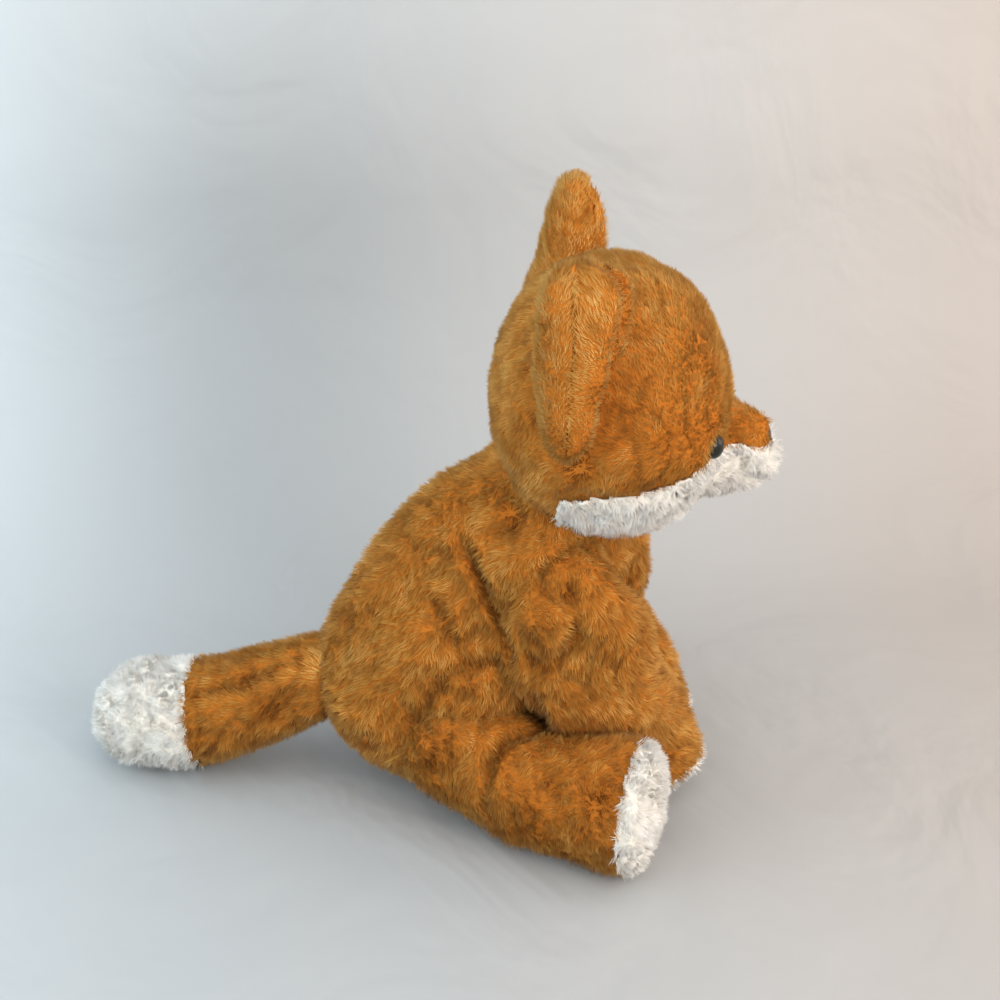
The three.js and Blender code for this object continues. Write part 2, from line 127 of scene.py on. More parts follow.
# %% Closed skins over rings
def curve_through(rows, t):
    """Catmull-Rom: a cubic between two rows whose slope at each is half the step between its
    neighbours. t runs from 0 at the first row to 1 at the last."""
    first, last = 2 * rows[0] - rows[1], 2 * rows[-1] - rows[-2]
    all_rows = np.vstack([first, rows, last])
    u = np.clip(t, 0, 1) * (len(rows) - 1)
    k = np.minimum(u.astype(int), len(rows) - 2)
    f = (u - k)[:, None]
    a, b, c, d = (all_rows[k + shift] for shift in range(4))
    return 0.5 * (2 * b + (c - a) * f + (2 * a - 5 * b + 4 * c - d) * f**2
                  + (3 * b - a - 3 * c + d) * f**3)


def skin_over(rings, first, last):
    """Points and faces of a closed skin: quads between rings, triangles to a point at each end."""
    count, around = rings.shape[:2]
    points = np.vstack([rings.reshape(-1, 3), first, last])
    ring, k = np.meshgrid(np.arange(count - 1), np.arange(around), indexing="ij")
    here, there = ring * around + k, ring * around + (k + 1) % around
    quads = np.stack([here, there, there + around, here + around], -1).reshape(-1, 4)
    k = np.arange(around)
    begin = np.stack([np.full(around, len(points) - 2), (k + 1) % around, k], -1)
    end_ring = (count - 1) * around
    end = np.stack([np.full(around, len(points) - 1), end_ring + k, end_ring + (k + 1) % around], -1)
    return points, quads.tolist() + begin.tolist() + end.tolist()


def stuffed_form(rows, inset, start_dome=None, end_dome=None, side=1, around=64, along=48):
    """Ellipses of the stations' half sizes less inset, square to the middle line, with domes of
    the given depth, or of the mean half size, at the ends."""
    rows = np.array(rows, float)
    rows[:, 3:] -= inset
    t = np.linspace(0, 1, along)
    at_t = curve_through(rows, t)
    slope = curve_through(rows, np.clip(t + 1e-3, 0, 1)) - curve_through(rows, np.clip(t - 1e-3, 0, 1))
    centre = places(at_t[:, :3], side)
    route = places(slope[:, :3], side) - place(0, 0, 0)
    size = at_t[:, 3:5]
    route /= np.linalg.norm(route, axis=1, keepdims=True)
    depths = [size[0].mean() if start_dome is None else start_dome,
              size[-1].mean() if end_dome is None else end_dome]
    angles = np.linspace(0, np.pi / 2, 13)[1:-1]
    start = [(0, -depths[0] * np.sin(a), np.cos(a)) for a in angles[::-1]]
    end = [(along - 1, depths[1] * np.sin(a), np.cos(a)) for a in angles]
    steps = np.array(start + [(k, 0, 1) for k in range(along)] + end)
    k = steps[:, 0].astype(int)
    across = np.cross(route, [0, 0, 1.0])
    across /= np.linalg.norm(across, axis=1, keepdims=True)
    through = np.cross(across, route)
    middle = centre[k] + route[k] * steps[:, 1:2]
    angle = np.linspace(0, 2 * np.pi, around, endpoint=False)
    rings = (middle[:, None]
             + across[k][:, None] * (size[k, 0] * steps[:, 2])[:, None, None] * np.cos(angle)[:, None]
             - through[k][:, None] * (size[k, 1] * steps[:, 2])[:, None, None] * np.sin(angle)[:, None])
    return skin_over(rings, centre[0] - route[0] * depths[0], centre[-1] + route[-1] * depths[1])


def rounded_form(centre, front, back, side, top, bottom, power=2.0, below_power=None, around=64, rows=48):
    """Each direction (x, y, z) is scaled until |x|^n + |y|^n + |z|^n = 1, then by the reach on its
    side of the centre. n is power above the centre and below_power under it."""
    latitude = np.linspace(-np.pi / 2, np.pi / 2, rows)[:, None]
    longitude = np.linspace(0, 2 * np.pi, around, endpoint=False)[None, :]
    direction = np.stack(np.broadcast_arrays(
        np.cos(latitude) * np.cos(longitude), np.cos(latitude) * np.sin(longitude), np.sin(latitude)), -1)
    n = np.where(direction[..., 2:] > 0, power, below_power or power)
    reach = (np.abs(direction) ** n).sum(-1, keepdims=True) ** (-1 / n)
    scale = np.stack([np.full(direction.shape[:2], float(side)),
                      np.where(direction[..., 1] < 0, front, back),
                      np.where(direction[..., 2] > 0, top, bottom)], -1)
    points = centre + direction * reach * scale
    return skin_over(points[1:-1], points[0, 0], points[-1, 0])


# %% [markdown]
# Covers that run into each other, such as the skull and the muzzle, are joined and remeshed at an
# even spacing, which gives one smooth cloth. The fibre inside then presses it outwards, and a short
# cloth simulation with pressure does that. No point may move further than the cap.

# %% From forms to cloth
def new_mesh_object(name, points, faces):
    """A smooth-shaded object at the origin. points are in millimetres, faces index them."""
    mesh = bpy.data.meshes.new(name)
    mesh.from_pydata((np.asarray(points) * MM).tolist(), [], faces)
    mesh.shade_smooth()
    made = bpy.data.objects.new(name, mesh)
    bpy.context.scene.collection.objects.link(made)
    return made


def joined(forms):
    """Points and faces of several forms side by side in one list."""
    points, faces = [], []
    for form_points, form_faces in forms:
        start = sum(len(p) for p in points)
        points.append(form_points)
        faces += [[start + k for k in face] for face in form_faces]
    return np.vstack(points), faces


def points_of(mesh):
    """The mesh's points in millimetres."""
    flat = np.empty(3 * len(mesh.vertices), np.float32)
    mesh.vertices.foreach_get("co", flat)
    return flat.reshape(-1, 3).astype(float) / MM


def normals_of(mesh):
    """The mesh's vertex normals."""
    flat = np.empty(3 * len(mesh.vertices), np.float32)
    mesh.vertex_normals.foreach_get("vector", flat)
    return flat.reshape(-1, 3).astype(float)


def set_points(mesh, points):
    """Puts new places, in millimetres, into the mesh."""
    mesh.vertices.foreach_set("co", (points * MM).astype(np.float32).ravel())
    mesh.update()


def with_modifiers_applied(thing):
    """Replaces the mesh by the one that its modifiers give, and removes them."""
    graph = bpy.context.evaluated_depsgraph_get()
    mesh = bpy.data.meshes.new_from_object(thing.evaluated_get(graph))
    thing.modifiers.clear()
    thing.data = mesh
    return thing


def remeshed(name, forms, spacing=3.4, smoothing=5):
    """One closed cloth over all the forms: voxels of the given spacing, then smoothing."""
    thing = new_mesh_object(name, *joined(forms))
    grid = thing.modifiers.new("even cloth", "REMESH")
    grid.mode = "VOXEL"
    grid.voxel_size = spacing * MM
    grid.use_smooth_shade = True
    soft = thing.modifiers.new("soft edges", "SMOOTH")
    soft.factor = 0.5
    soft.iterations = smoothing
    return with_modifiers_applied(thing)


def pressed_out(thing, cap=2.5, pressure=4.0, frames=20):
    """Cloth with air pressure and no weight, for a few frames. Each point then moves along its
    path by at most cap, in millimetres."""
    before = points_of(thing.data)
    cloth = thing.modifiers.new("stuffing", "CLOTH")
    cloth.settings.use_pressure = True
    cloth.settings.uniform_pressure_force = pressure
    cloth.settings.effector_weights.gravity = 0
    cloth.settings.quality = 5
    cloth.point_cache.frame_start = 1
    cloth.point_cache.frame_end = frames
    for step in range(1, frames + 1):
        bpy.context.scene.frame_set(step)
    with_modifiers_applied(thing)
    bpy.context.scene.frame_set(1)
    moved = points_of(thing.data) - before
    far = np.linalg.norm(moved, axis=1, keepdims=True)
    set_points(thing.data, before + moved * np.minimum(1, cap / np.maximum(far, 1e-9)))
    print(thing.name, "pressed out by up to", round(float(far.max()), 1), "mm before the cap")
    return thing


# %% [markdown]
# Folds are drawn as lines on the cloth. The cloth sinks along a line, deepest in its middle, and
# bulges a little beside it, as cloth does that is gathered into a seam. A fold whose line is one
# place is a dimple, and a negative depth makes a swelling.

# %% Folds
def finer(thing):
    """One smooth subdivision, so that small folds have points enough."""
    halved = thing.modifiers.new("finer", "SUBSURF")
    halved.levels = halved.render_levels = 1
    return with_modifiers_applied(thing)


def distance_to_line(points, line):
    """Least distance from each point to the pieces of a line, and where along it that is, 0 to 1."""
    line = np.asarray(line, float)
    if len(line) == 1:
        return np.linalg.norm(points - line[0], axis=1), np.full(len(points), 0.5)
    nearest, share = np.full(len(points), 1e9), np.zeros(len(points))
    for k, (a, b) in enumerate(zip(line[:-1], line[1:])):
        along = np.clip((points - a) @ (b - a) / ((b - a) @ (b - a)), 0, 1)
        away = np.linalg.norm(points - a - along[:, None] * (b - a), axis=1)
        share = np.where(away < nearest, (k + along) / (len(line) - 1), share)
        nearest = np.minimum(nearest, away)
    return nearest, share


def folded(thing, folds):
    """Each point sinks by depth * exp(-(distance / width)^2), less 0.3 of the same hump 1.8 widths
    away. Both fade at the line's ends."""
    finer(thing)
    for line, width, depth in folds:
        points, normals = points_of(thing.data), normals_of(thing.data)
        away, share = distance_to_line(points, line)
        fade = np.sqrt(np.clip(np.sin(np.pi * share), 0.15, 1)) if len(line) > 1 else 1.0
        well = np.exp(-((away / width) ** 2))
        bank = np.exp(-(((away - 1.8 * width) / width) ** 2))
        sink = depth * fade * (well - 0.3 * bank)
        set_points(thing.data, points - normals * sink[:, None])
    return thing


def on_side(folds, side, share=1.0):
    """Folds written for one side, mirrored when side is -1, with that share of their depth."""
    return [([[side * x, y, z] for x, y, z in line], width, share * depth) for line, width, depth in folds]


# %% [markdown]
# Brushed pile never lies evenly. Its direction and height drift from place to place, and a sum of
# a few slow waves gives such a drift without a grid in it.

# %% A smooth drift
def drift(points, spacing, seed, waves=7):
    """Sum of sine waves in random directions, of lengths about spacing, over the root of their
    number. It runs from about -1 to 1."""
    rng = np.random.default_rng(seed)
    direction = rng.normal(size=(waves, 3))
    direction /= np.linalg.norm(direction, axis=1, keepdims=True)
    length = spacing * rng.uniform(0.7, 1.5, waves)
    phase = rng.uniform(0, 2 * np.pi, waves)
    return np.sin(points @ (direction.T * 2 * np.pi / length) + phase).sum(1) / np.sqrt(waves)


def uneven(thing, spacing, height, seed):
    """Raises and lowers the cloth along its normals by a drift."""
    points, normals = points_of(thing.data), normals_of(thing.data)
    set_points(thing.data, points + normals * (height * drift(points, spacing, seed))[:, None])
    return thing


def nearest_tuft(points, spacing, seed):
    """Cells of the given spacing hold one random middle each. Returns the nearest middle among a
    point's own and the 26 cells round it, and a random number from 0 to 1 for each axis of it."""
    cell = np.floor(points / spacing).astype(np.int64)
    best, middle, chance = np.full(len(points), 1e9), np.zeros_like(points), np.zeros_like(points)
    for shift in np.stack(np.meshgrid([-1, 0, 1], [-1, 0, 1], [-1, 0, 1]), -1).reshape(-1, 3):
        here = cell + shift
        mixed = here @ np.array([73856093, 19349663, 83492791]) + seed * 9176
        random = np.stack([((mixed * step) % 104729) / 104729.0 for step in (7919, 6271, 3571)], 1)
        spot = (here + random) * spacing
        away = ((spot - points) ** 2).sum(1)
        closer = away < best
        best = np.where(closer, away, best)
        middle = np.where(closer[:, None], spot, middle)
        chance = np.where(closer[:, None], random, chance)
    return middle, chance


def nubbly(thing, spacing, height, seed):
    """Rounded nubs: each point rises by height * (1 - (distance to the nearest middle / reach)^2)."""
    points, normals = points_of(thing.data), normals_of(thing.data)
    middle, _ = nearest_tuft(points, spacing, seed)
    away = np.linalg.norm(middle - points, axis=1)
    rise = height * np.clip(1 - (away / (0.75 * spacing)) ** 2, 0, 1)
    set_points(thing.data, points + normals * rise[:, None])
    return thing


# %% [markdown]
# Handling leaves the pile crushed. It parts along wandering lines, and a tuft pressed down here and
# there leaves a small pit. Their darkness is painted shade in the pile's tone.

# %% Crush lines and pits
def crushed(points):
    """exp(-(drift / 0.3)^2), which is 1 on the lines where the drift is 0, times a slower drift that
    lets the lines come and go."""
    lines = np.exp(-((drift(points, 24.0, 71) / 0.3) ** 2))
    return lines * np.clip(0.5 + 0.7 * drift(points, 50.0, 72), 0, 1)


def pitted(points, seed):
    """1 at the random middle of some 12 mm cells, falling to 0 within 2 mm."""
    spot, chance = nearest_tuft(points, 12.0, seed)
    return (chance[:, 0] > 0.4) * np.exp(-((np.linalg.norm(spot - points, axis=1) / 1.9) ** 2))


def parted(thing, depth=1.5):
    """Sinks the cloth along its crush lines."""
    points, normals = points_of(thing.data), normals_of(thing.data)
    set_points(thing.data, points - normals * (depth * crushed(points))[:, None])
    return thing


# %% [markdown]
# The body is one cover from the rump to the neck. It swells over the hips, where the hind legs are
# sewn on, and at the shoulders. On the real toy a deep fold runs down behind the upper arm, and an
# arc of creases lies over the thigh, where the leg pulls the cloth forward. The folds are placed on
# the right side, which was seen, and its mirror image on the left is a little shallower.

# %% The body's cloth
RUMP_DOME = 44.0
body_cloth = remeshed("body_cloth", [
    stuffed_form(TORSO, CLOTH_DEPTH, start_dome=RUMP_DOME - CLOTH_DEPTH),
    *[rounded_form(place(17, left, 43), 28, 30, 26, 28, 30) for left in (27, -27)],
    *[rounded_form(place(57, left, 136), 28, 29, 25, 24, 30) for left in (29, -29)],
])
pressed_out(body_cloth)
body_folds = [
    # behind the upper arm, then the arc over the thigh and two short folds that run into it
    ([[-31, 2, 149], [-34, -4, 141], [-38, -8, 133], [-40, -11, 126], [-42, -16, 116], [-42, -24, 102]],
     3.2, 8.0),
    ([[-43, 25, 60], [-43, 17, 73], [-43, 9, 84], [-43, -3, 91], [-42, -17, 93], [-43, -27, 86]],
     4.0, 4.4),
    ([[-32, 16, 121], [-38, 9, 113], [-40, 8, 104], [-42, 1, 94]], 3.0, 4.0),
    ([[-40, 8, 104], [-42, -3, 105], [-42, -12, 109]], 2.6, 2.6),
    # over the shoulder, under the upper arm, and twice at the neck
    ([[-20, 24, 140], [-26, 12, 143], [-31, 3, 141]], 3.0, 2.6),
    ([[-42, -22, 104], [-44, -28, 92], [-47, -35, 80], [-44, -40, 66]], 4.0, 7.0),
    ([[-27, -20, 170], [-31, -25, 162], [-34, -18, 152]], 5.0, 3.4),
    ([[-19, -14, 174], [-22, -6, 168]], 4.0, 2.4),
    # dimples on the rump, then the swellings of the flank, the back of the flank, chest and back
    ([[-29, 54, 66]], 7.0, 2.0),
    ([[-31, 46, 42]], 8.0, 2.0),
    ([[-41, -8, 72]], 19.0, -6.0),
    ([[-38, 26, 98]], 15.0, -2.6),
    ([[0, -84, 110]], 26.0, -6.0),
    ([[0, 62, 118]], 30.0, -1.8),
]
body_folds += on_side(body_folds, -1, 0.8)
folded(body_cloth, body_folds)
uneven(body_cloth, 34.0, 0.8, 3)
uneven(body_cloth, 14.0, 0.35, 4)
print(body_cloth.name, len(body_cloth.data.polygons), "faces")

# %% [markdown]
# The head is a full round skull with a short muzzle let into it and a soft roll of cheek over the
# jaw. Below a seam that rises from the back of the cheek to the nose the cloth is white. The head is
# shaped looking straight ahead and is turned when it is finished.

# %% The head's cloth
HEAD = dict(front=56.5, back=58.0, side=68.0, top=68.0, bottom=60.0, power=2.1, below_power=2.3)
HEAD_PLACE = place(89, 0, 206)
JAW_SIDE = np.array([[96, 34, 189, 22, 20], [115, 22, 183, 21, 20], [134, 10, 181, 20, 20]], float)
JAW_SEAM = np.array([[66, 179.5], [100, 185], [134, 192.5], [145, 190.5], [158, 187], [180, 186]], float)


def smaller(form, inset):
    """The reaches of a rounded form, each less by inset."""
    return {key: value if "power" in key else value - inset for key, value in form.items()}


head_cloth = remeshed("head_cloth", [
    rounded_form(HEAD_PLACE, **smaller(HEAD, CLOTH_DEPTH)),
    stuffed_form(MUZZLE, CLOTH_DEPTH, end_dome=5.0, along=24),
    *[rounded_form(place(93, left, 196), 24, 26, 25.5, 18, 13) for left in (36, -36)],
    *[stuffed_form(JAW_SIDE, CLOTH_DEPTH, side=side) for side in (1, -1)],
])
pressed_out(head_cloth, cap=1.5)
head_folds = [
    # under the cheek, behind it, on the temple, at the eye, and over the foot of the muzzle
    ([[-55, -45, 183], [-60, -62, 184], [-60, -80, 186], [-50, -97, 190], [-34, -110, 193]], 3.5, 2.6),
    ([[-62, -44, 198], [-61, -52, 206]], 5.0, 2.2),
    ([[-61, -66, 214], [-57, -76, 226]], 7.0, 2.0),
    ([[-34, -113, 197]], 6.0, 2.0),
    ([[-20, -112, 206], [0, -113, 208], [20, -112, 206]], 4.0, 1.6),
]
head_folds += on_side(head_folds, -1)
folded(head_cloth, head_folds)
uneven(head_cloth, 30.0, 0.5, 5)
uneven(head_cloth, 14.0, 0.3, 6)
print(head_cloth.name, len(head_cloth.data.polygons), "faces")

# %% [markdown]
# One closed cloth becomes two pieces where a seam crosses it. Each piece keeps the faces on its
# side of the seam, and a Solidify modifier gives it the thickness of the knitted backing, so that
# both are closed sheets.

# %% Cutting along a seam
BACKING = 1.2


def cut_piece(name, whole, keep):
    """The faces of whole whose middles pass keep(middles), as an object of their own."""
    mesh = whole.data
    corners = [list(face.vertices) for face in mesh.polygons]
    points = points_of(mesh)
    middles = np.array([points[c].mean(0) for c in corners])
    kept = [c for c, inside in zip(corners, keep(middles)) if inside]
    used = np.unique(np.concatenate([np.array(c) for c in kept]))
    number = np.full(len(points), -1)
    number[used] = np.arange(len(used))
    return new_mesh_object(name, points[used], [number[c].tolist() for c in kept])


def backed(thing):
    """Gives the sheet its thickness, inwards from the surface."""
    wall = thing.modifiers.new("backing", "SOLIDIFY")
    wall.thickness = BACKING * MM
    wall.offset = -1
    return thing


def under_jaw(middles):
    """True under the seam of the jaw, forward of its end."""
    forward = SEAT_FORWARD - middles[:, 1]
    return (middles[:, 2] < np.interp(forward, JAW_SEAM[:, 0], JAW_SEAM[:, 1])) & (forward > JAW_SEAM[0, 0])


head_orange = cut_piece("head_cover_cloth", head_cloth, lambda m: ~under_jaw(m))
jaw_white = cut_piece("jaw_panel_cloth", head_cloth, under_jaw)
for piece in (head_orange, jaw_white):
    set_points(piece.data, turned_head(points_of(piece.data)))
bpy.data.objects.remove(head_cloth)
nubbly(jaw_white, 6.5, 2.3, 7)
print("head cover", len(head_orange.data.polygons), "jaw", len(jaw_white.data.polygons), "faces")

# %% [markdown]
# The forelegs hang from the shoulders and bend inwards at the elbow, each to a square end closed by
# a white pad. The hind legs spread forward, with a big round sole. The tail is a thick tube with a
# white tip. All are limbs of the same kind, so one function makes them and cuts off the white end.

# %% The limbs' cloth
def past_station(rows, side, t, shift=0.0, steep=1.0):
    """A test for middles that lie past the place t along the stations. The seam's plane is square to
    the middle line when steep is 1, and upright when it is 0."""
    at_t = curve_through(np.array(rows), np.array([t, max(t - 1e-3, 0), min(t + 1e-3, 1)]))
    spots = places(at_t[:, :3], side)
    axis = (spots[2] - spots[1]) * [1, 1, steep]
    axis /= np.linalg.norm(axis)
    return lambda middles: (middles - spots[0]) @ axis > shift


def limb(name, cap_name, rows, side, seam, folds, domes, seed, back=0.0, steep=1.0):
    """Remeshed, pressed out, folded, then cut at the seam into the tube and its white end."""
    whole = remeshed(f"{name}_whole", [stuffed_form(rows, CLOTH_DEPTH, side=side, **domes)], spacing=3.2)
    pressed_out(whole, cap=1.5)
    folded(whole, folds)
    uneven(whole, 24.0, 0.6, seed)
    uneven(whole, 12.0, 0.3, seed + 1)
    past = past_station(rows, side, seam, -back, steep)
    tube = cut_piece(f"{name}_cover_cloth", whole, lambda m: ~past(m))
    cap = nubbly(cut_piece(f"{cap_name}_cloth", whole, past), 6.5, 2.0, seed)
    bpy.data.objects.remove(whole)
    print(name, len(tube.data.polygons), "and", len(cap.data.polygons), "faces")
    return tube, cap


FORELEG_FOLDS = [
    # behind the arm, round its upper lobe, the lobe itself, and two at the elbow
    ([[45, -12, 119], [47, -17, 110], [48, -22, 101], [49, -26, 92], [54, -32, 83], [54, -37, 70],
      [46, -40, 55]], 3.6, 8.0),
    ([[61, -46, 140], [63, -48, 128], [65, -48, 119], [61, -44, 108], [56, -33, 101], [51, -24, 101]],
     4.2, 6.5),
    ([[56, -30, 122]], 13.0, -3.0),
    ([[61, -60, 108], [56, -76, 92]], 6.0, 1.6),
    ([[62, -60, 88], [50, -84, 78]], 7.0, 1.4),
]
HIND_LEG_FOLDS = [
    # round the thigh, where the leg comes out of the body, then a crease, a dimple and a swelling
    ([[48, -38, 53], [55, -28, 57], [60, -15, 56], [65, -9, 50], [70, -9, 40], [70, -8, 28]], 3.4, 4.6),
    ([[86, -30, 52], [92, -40, 40]], 6.0, 1.6),
    ([[95, -54, 46]], 9.0, 2.4),
    ([[80, -22, 41]], 12.0, -1.6),
]
TAIL_FOLDS = [
    # along the top of the tail, and along its right side
    ([[0, 130, 50], [-3, 110, 57], [-4, 90, 65], [-2, 72, 70]], 4.0, 4.0),
    ([[-8, 128, 37], [-9, 110, 33], [-12, 92, 48], [-12, 80, 57]], 5.0, 2.2),
]


covers = {}
for label, side in (("left", 1), ("right", -1)):
    foreleg = limb(f"{label}_foreleg", f"{label}_paw_pad", FORELEG, side, 1.0,
                   on_side(FORELEG_FOLDS, side), dict(start_dome=16.0, end_dome=3.5), 11 + side, back=1.5)
    hind_leg = limb(f"{label}_hind_leg", f"{label}_sole", HIND_LEG, side, 1.0,
                    on_side(HIND_LEG_FOLDS, side), dict(end_dome=10.0), 21 + side, back=2.0)
    covers[f"{label}_foreleg_cover"], covers[f"{label}_paw_pad"] = foreleg
    covers[f"{label}_hind_leg_cover"], covers[f"{label}_sole"] = hind_leg
covers["tail_cover"], covers["tail_tip"] = limb(
    "tail", "tail_tip", TAIL, 1, 0.70, TAIL_FOLDS, dict(), 31, steep=0.35)

# %% [markdown]
# Each ear is two layers sewn round their rim and cupped forward. Across the leaf s runs from -1 to
# 1, and v from 0 at the foot to 1 at the tip. The rim stands forward of the middle by the cup, and
# each layer is thickest in its middle. The two layers are closed leaves of their own, back to back,
# because on the real toy they are two pieces of cloth.

# %% The ears' cloth
EAR = dict(foot=(76, 66, 203), tip=(77, 59, 293), half_width=28.5, taper=0.3, cup=9.0, turned_out=14.0,
           layer=7.0)
END_GAP = 0.12
SEAM_GAP = 0.1
rims, outsides = {}, {}


def ear_layer(name, side, front, shift=0.0, fuller=0.0, roll=0.0, tall=1.0, root=0.0, square=2.2):
    """Half of a thin closed leaf: a grid over s and v on the outside, and a flat one back to its
    start on the inside. shift moves the leaf back, fuller thickens it towards the tip, roll swells
    its rim and root its foot, all in millimetres. tall multiplies its height, and a larger square
    gives a blunter foot. The outside alone is also kept as a sheet for the pile to stand on."""
    foot, tip = places([EAR["foot"], EAR["tip"]], side)
    rise = tip - foot
    up = rise / np.linalg.norm(rise)
    rise = rise * tall
    out = np.radians(EAR["turned_out"])
    ahead = np.array([side * np.sin(out), -np.cos(out), 0.0])
    across = np.array([side * np.cos(out), np.sin(out), 0.0])
    ahead -= up * (ahead @ up)
    across -= up * (across @ up)
    ahead /= np.linalg.norm(ahead)
    across /= np.linalg.norm(across)
    v = 0.5 - 0.5 * np.cos(np.linspace(END_GAP, np.pi - END_GAP, 40))[:, None]
    steps = 24
    outer = -np.cos(np.pi * np.arange(steps + 1) / steps)
    inner = np.cos(np.pi * np.arange(1, steps) / steps)
    s = np.concatenate([outer, inner])[None, :]
    layer = np.concatenate([np.ones(steps + 1), np.zeros(steps - 1)])[None, :]
    half = EAR["half_width"] * (1 - EAR["taper"] * v) * np.sqrt(1 - np.abs(2 * v - 1) ** 4)
    ends = 1 - np.where(v < 0.5, np.abs(2 * v - 1) ** square, (2 * v - 1) ** 8)
    thin = np.sqrt(np.maximum(0, (1 - s**6) * ends))
    bow = EAR["cup"] * (s**2 - 0.5) * (1 - np.abs(2 * v - 1) ** 4)
    rim = roll * np.exp(-(((np.abs(s) - 0.72) / 0.25) ** 2))
    thick = (EAR["layer"] + (0.5 + v) * (fuller + rim) + root * (1 - v) ** 2) * thin
    lift = bow + (1 if front else -1) * (SEAM_GAP + layer * thick) - shift
    span = 0.035 + 0.93 * v
    grid = (foot + rise * span[..., None] + across * (half * s)[..., None] + ahead * lift[..., None])
    outside = grid[:, :steps + 1]
    if (side > 0) != front:
        grid, outside = grid[:, ::-1], outside[:, ::-1]
    poles = [foot + rise * span[k] + ahead * lift[k].mean() for k in (0, -1)]
    points, faces = skin_over(grid, *poles)
    first, last = (np.repeat(pole[None, None], steps + 1, 1) for pole in poles)
    outside = np.concatenate([first, outside, last])
    node = name.replace("_cloth", "")
    # the rim lines also paint shade into the pile: along the ear's seam, and on the head beside the ear
    rims[node] = [(turned_head(outside[::3, k]), 2.2, 1.0) for k in (0, steps)]
    made = new_mesh_object(name, points, faces)
    row, k = np.meshgrid(np.arange(len(v) + 1), np.arange(steps), indexing="ij")
    here = row * (steps + 1) + k
    quads = np.stack([here, here + 1, here + steps + 2, here + steps + 1], -1).reshape(-1, 4).tolist()
    sheet = new_mesh_object(name.replace("cloth", "outside"), outside.reshape(-1, 3), quads)
    for thing in (made, sheet):
        uneven(thing, 20.0, 0.5, 41 + side)
        set_points(thing.data, turned_head(points_of(thing.data)))
    outsides[node] = sheet
    covers[node] = made


LEFT_EAR = dict(side=1, shift=4.0, tall=1.02)
RIGHT_EAR = dict(side=-1, shift=5.0)
ear_layer("left_ear_back_cloth", front=False, fuller=0.5, root=23.0, square=4.0, **LEFT_EAR)
ear_layer("left_ear_front_cloth", front=True, roll=2.0, **LEFT_EAR)
ear_layer("right_ear_back_cloth", front=False, fuller=3.0, **RIGHT_EAR)
ear_layer("right_ear_front_cloth", front=True, fuller=5.0, roll=6.0, **RIGHT_EAR)
covers |= {"body_cover": body_cloth, "head_cover": head_orange, "jaw_panel": jaw_white}
body_cloth.name = "body_cover_cloth"
print(len(covers), "covers")

# %% [markdown]
# Shader maths reads best as sums. This small class wraps a socket, so that an expression on values
# adds its Math nodes, and one method adds any other node.

# %% A material's expressions
class Value:
    """A socket of a material's nodes. a + b, 1 - a, a * 2 and so on add Math nodes."""

    def __init__(self, tree, socket):
        self.tree, self.socket = tree, socket

    def math(self, operation, first, second):
        """One Math node on two values, which are numbers or wrapped sockets."""
        return self.node("ShaderNodeMath", {"operation": operation}, {0: first, 1: second})

    def node(self, kind, settings=None, inputs=None, output=0):
        """Any node: its type, its settings, then the values or links of its sockets."""
        made = self.tree.nodes.new(kind)
        for key, value in (settings or {}).items():
            if key == "stops":
                ramp = made.color_ramp.elements
                while len(ramp) < len(value):
                    ramp.new(0.5)
                for stop, (position, color) in zip(ramp, value):
                    stop.position, stop.color = position, (*color, 1)
            else:
                setattr(made, key, value)
        for key, value in (inputs or {}).items():
            if isinstance(value, Value):
                self.tree.links.new(value.socket, made.inputs[key])
            else:
                made.inputs[key].default_value = value
        return Value(self.tree, made.outputs[output])

    def __add__(self, other):
        return self.math("ADD", self, other)

    def __radd__(self, other):
        return self.math("ADD", other, self)

    def __sub__(self, other):
        return self.math("SUBTRACT", self, other)

    def __rsub__(self, other):
        return self.math("SUBTRACT", other, self)

    def __mul__(self, other):
        return self.math("MULTIPLY", self, other)

    def __rmul__(self, other):
        return self.math("MULTIPLY", other, self)

    def __truediv__(self, other):
        return self.math("DIVIDE", self, other)

    def __rtruediv__(self, other):
        return self.math("DIVIDE", other, self)


def linear(red, green, blue):
    """A colour as it is seen, 0 to 255, as the linear values that a shader takes."""
    seen = np.array([red, green, blue]) / 255.0
    return tuple(np.where(seen <= 0.04045, seen / 12.92, ((seen + 0.055) / 1.055) ** 2.4).tolist())


def new_material(name, roughness, **constants):
    """A material with one Principled shader. Returns it, its start value and that shader."""
    material = bpy.data.materials.new(name)
    material.use_nodes = True
    shader = material.node_tree.nodes["Principled BSDF"]
    shader.inputs["Roughness"].default_value = roughness
    for key, value in constants.items():
        shader.inputs[key.replace("_", " ")].default_value = value
    return material, Value(material.node_tree, None), shader


def link(value, socket):
    """Joins a wrapped value to a shader's socket."""
    value.tree.links.new(value.socket, socket)


def blended(start, factor, first, second):
    """A Mix node on two colours, which are tuples or wrapped sockets."""
    colors = [(*c, 1.0) if isinstance(c, tuple) else c for c in (first, second)]
    return start.node("ShaderNodeMix", {"data_type": "RGBA"}, {0: factor, 6: colors[0], 7: colors[1]},
                      output=2)


def noise(start, where, scale, detail, **more):
    """Noise on the coordinates where, from 0 to 1."""
    return start.node("ShaderNodeTexNoise", {}, {"Vector": where, "Scale": scale, "Detail": detail, **more})
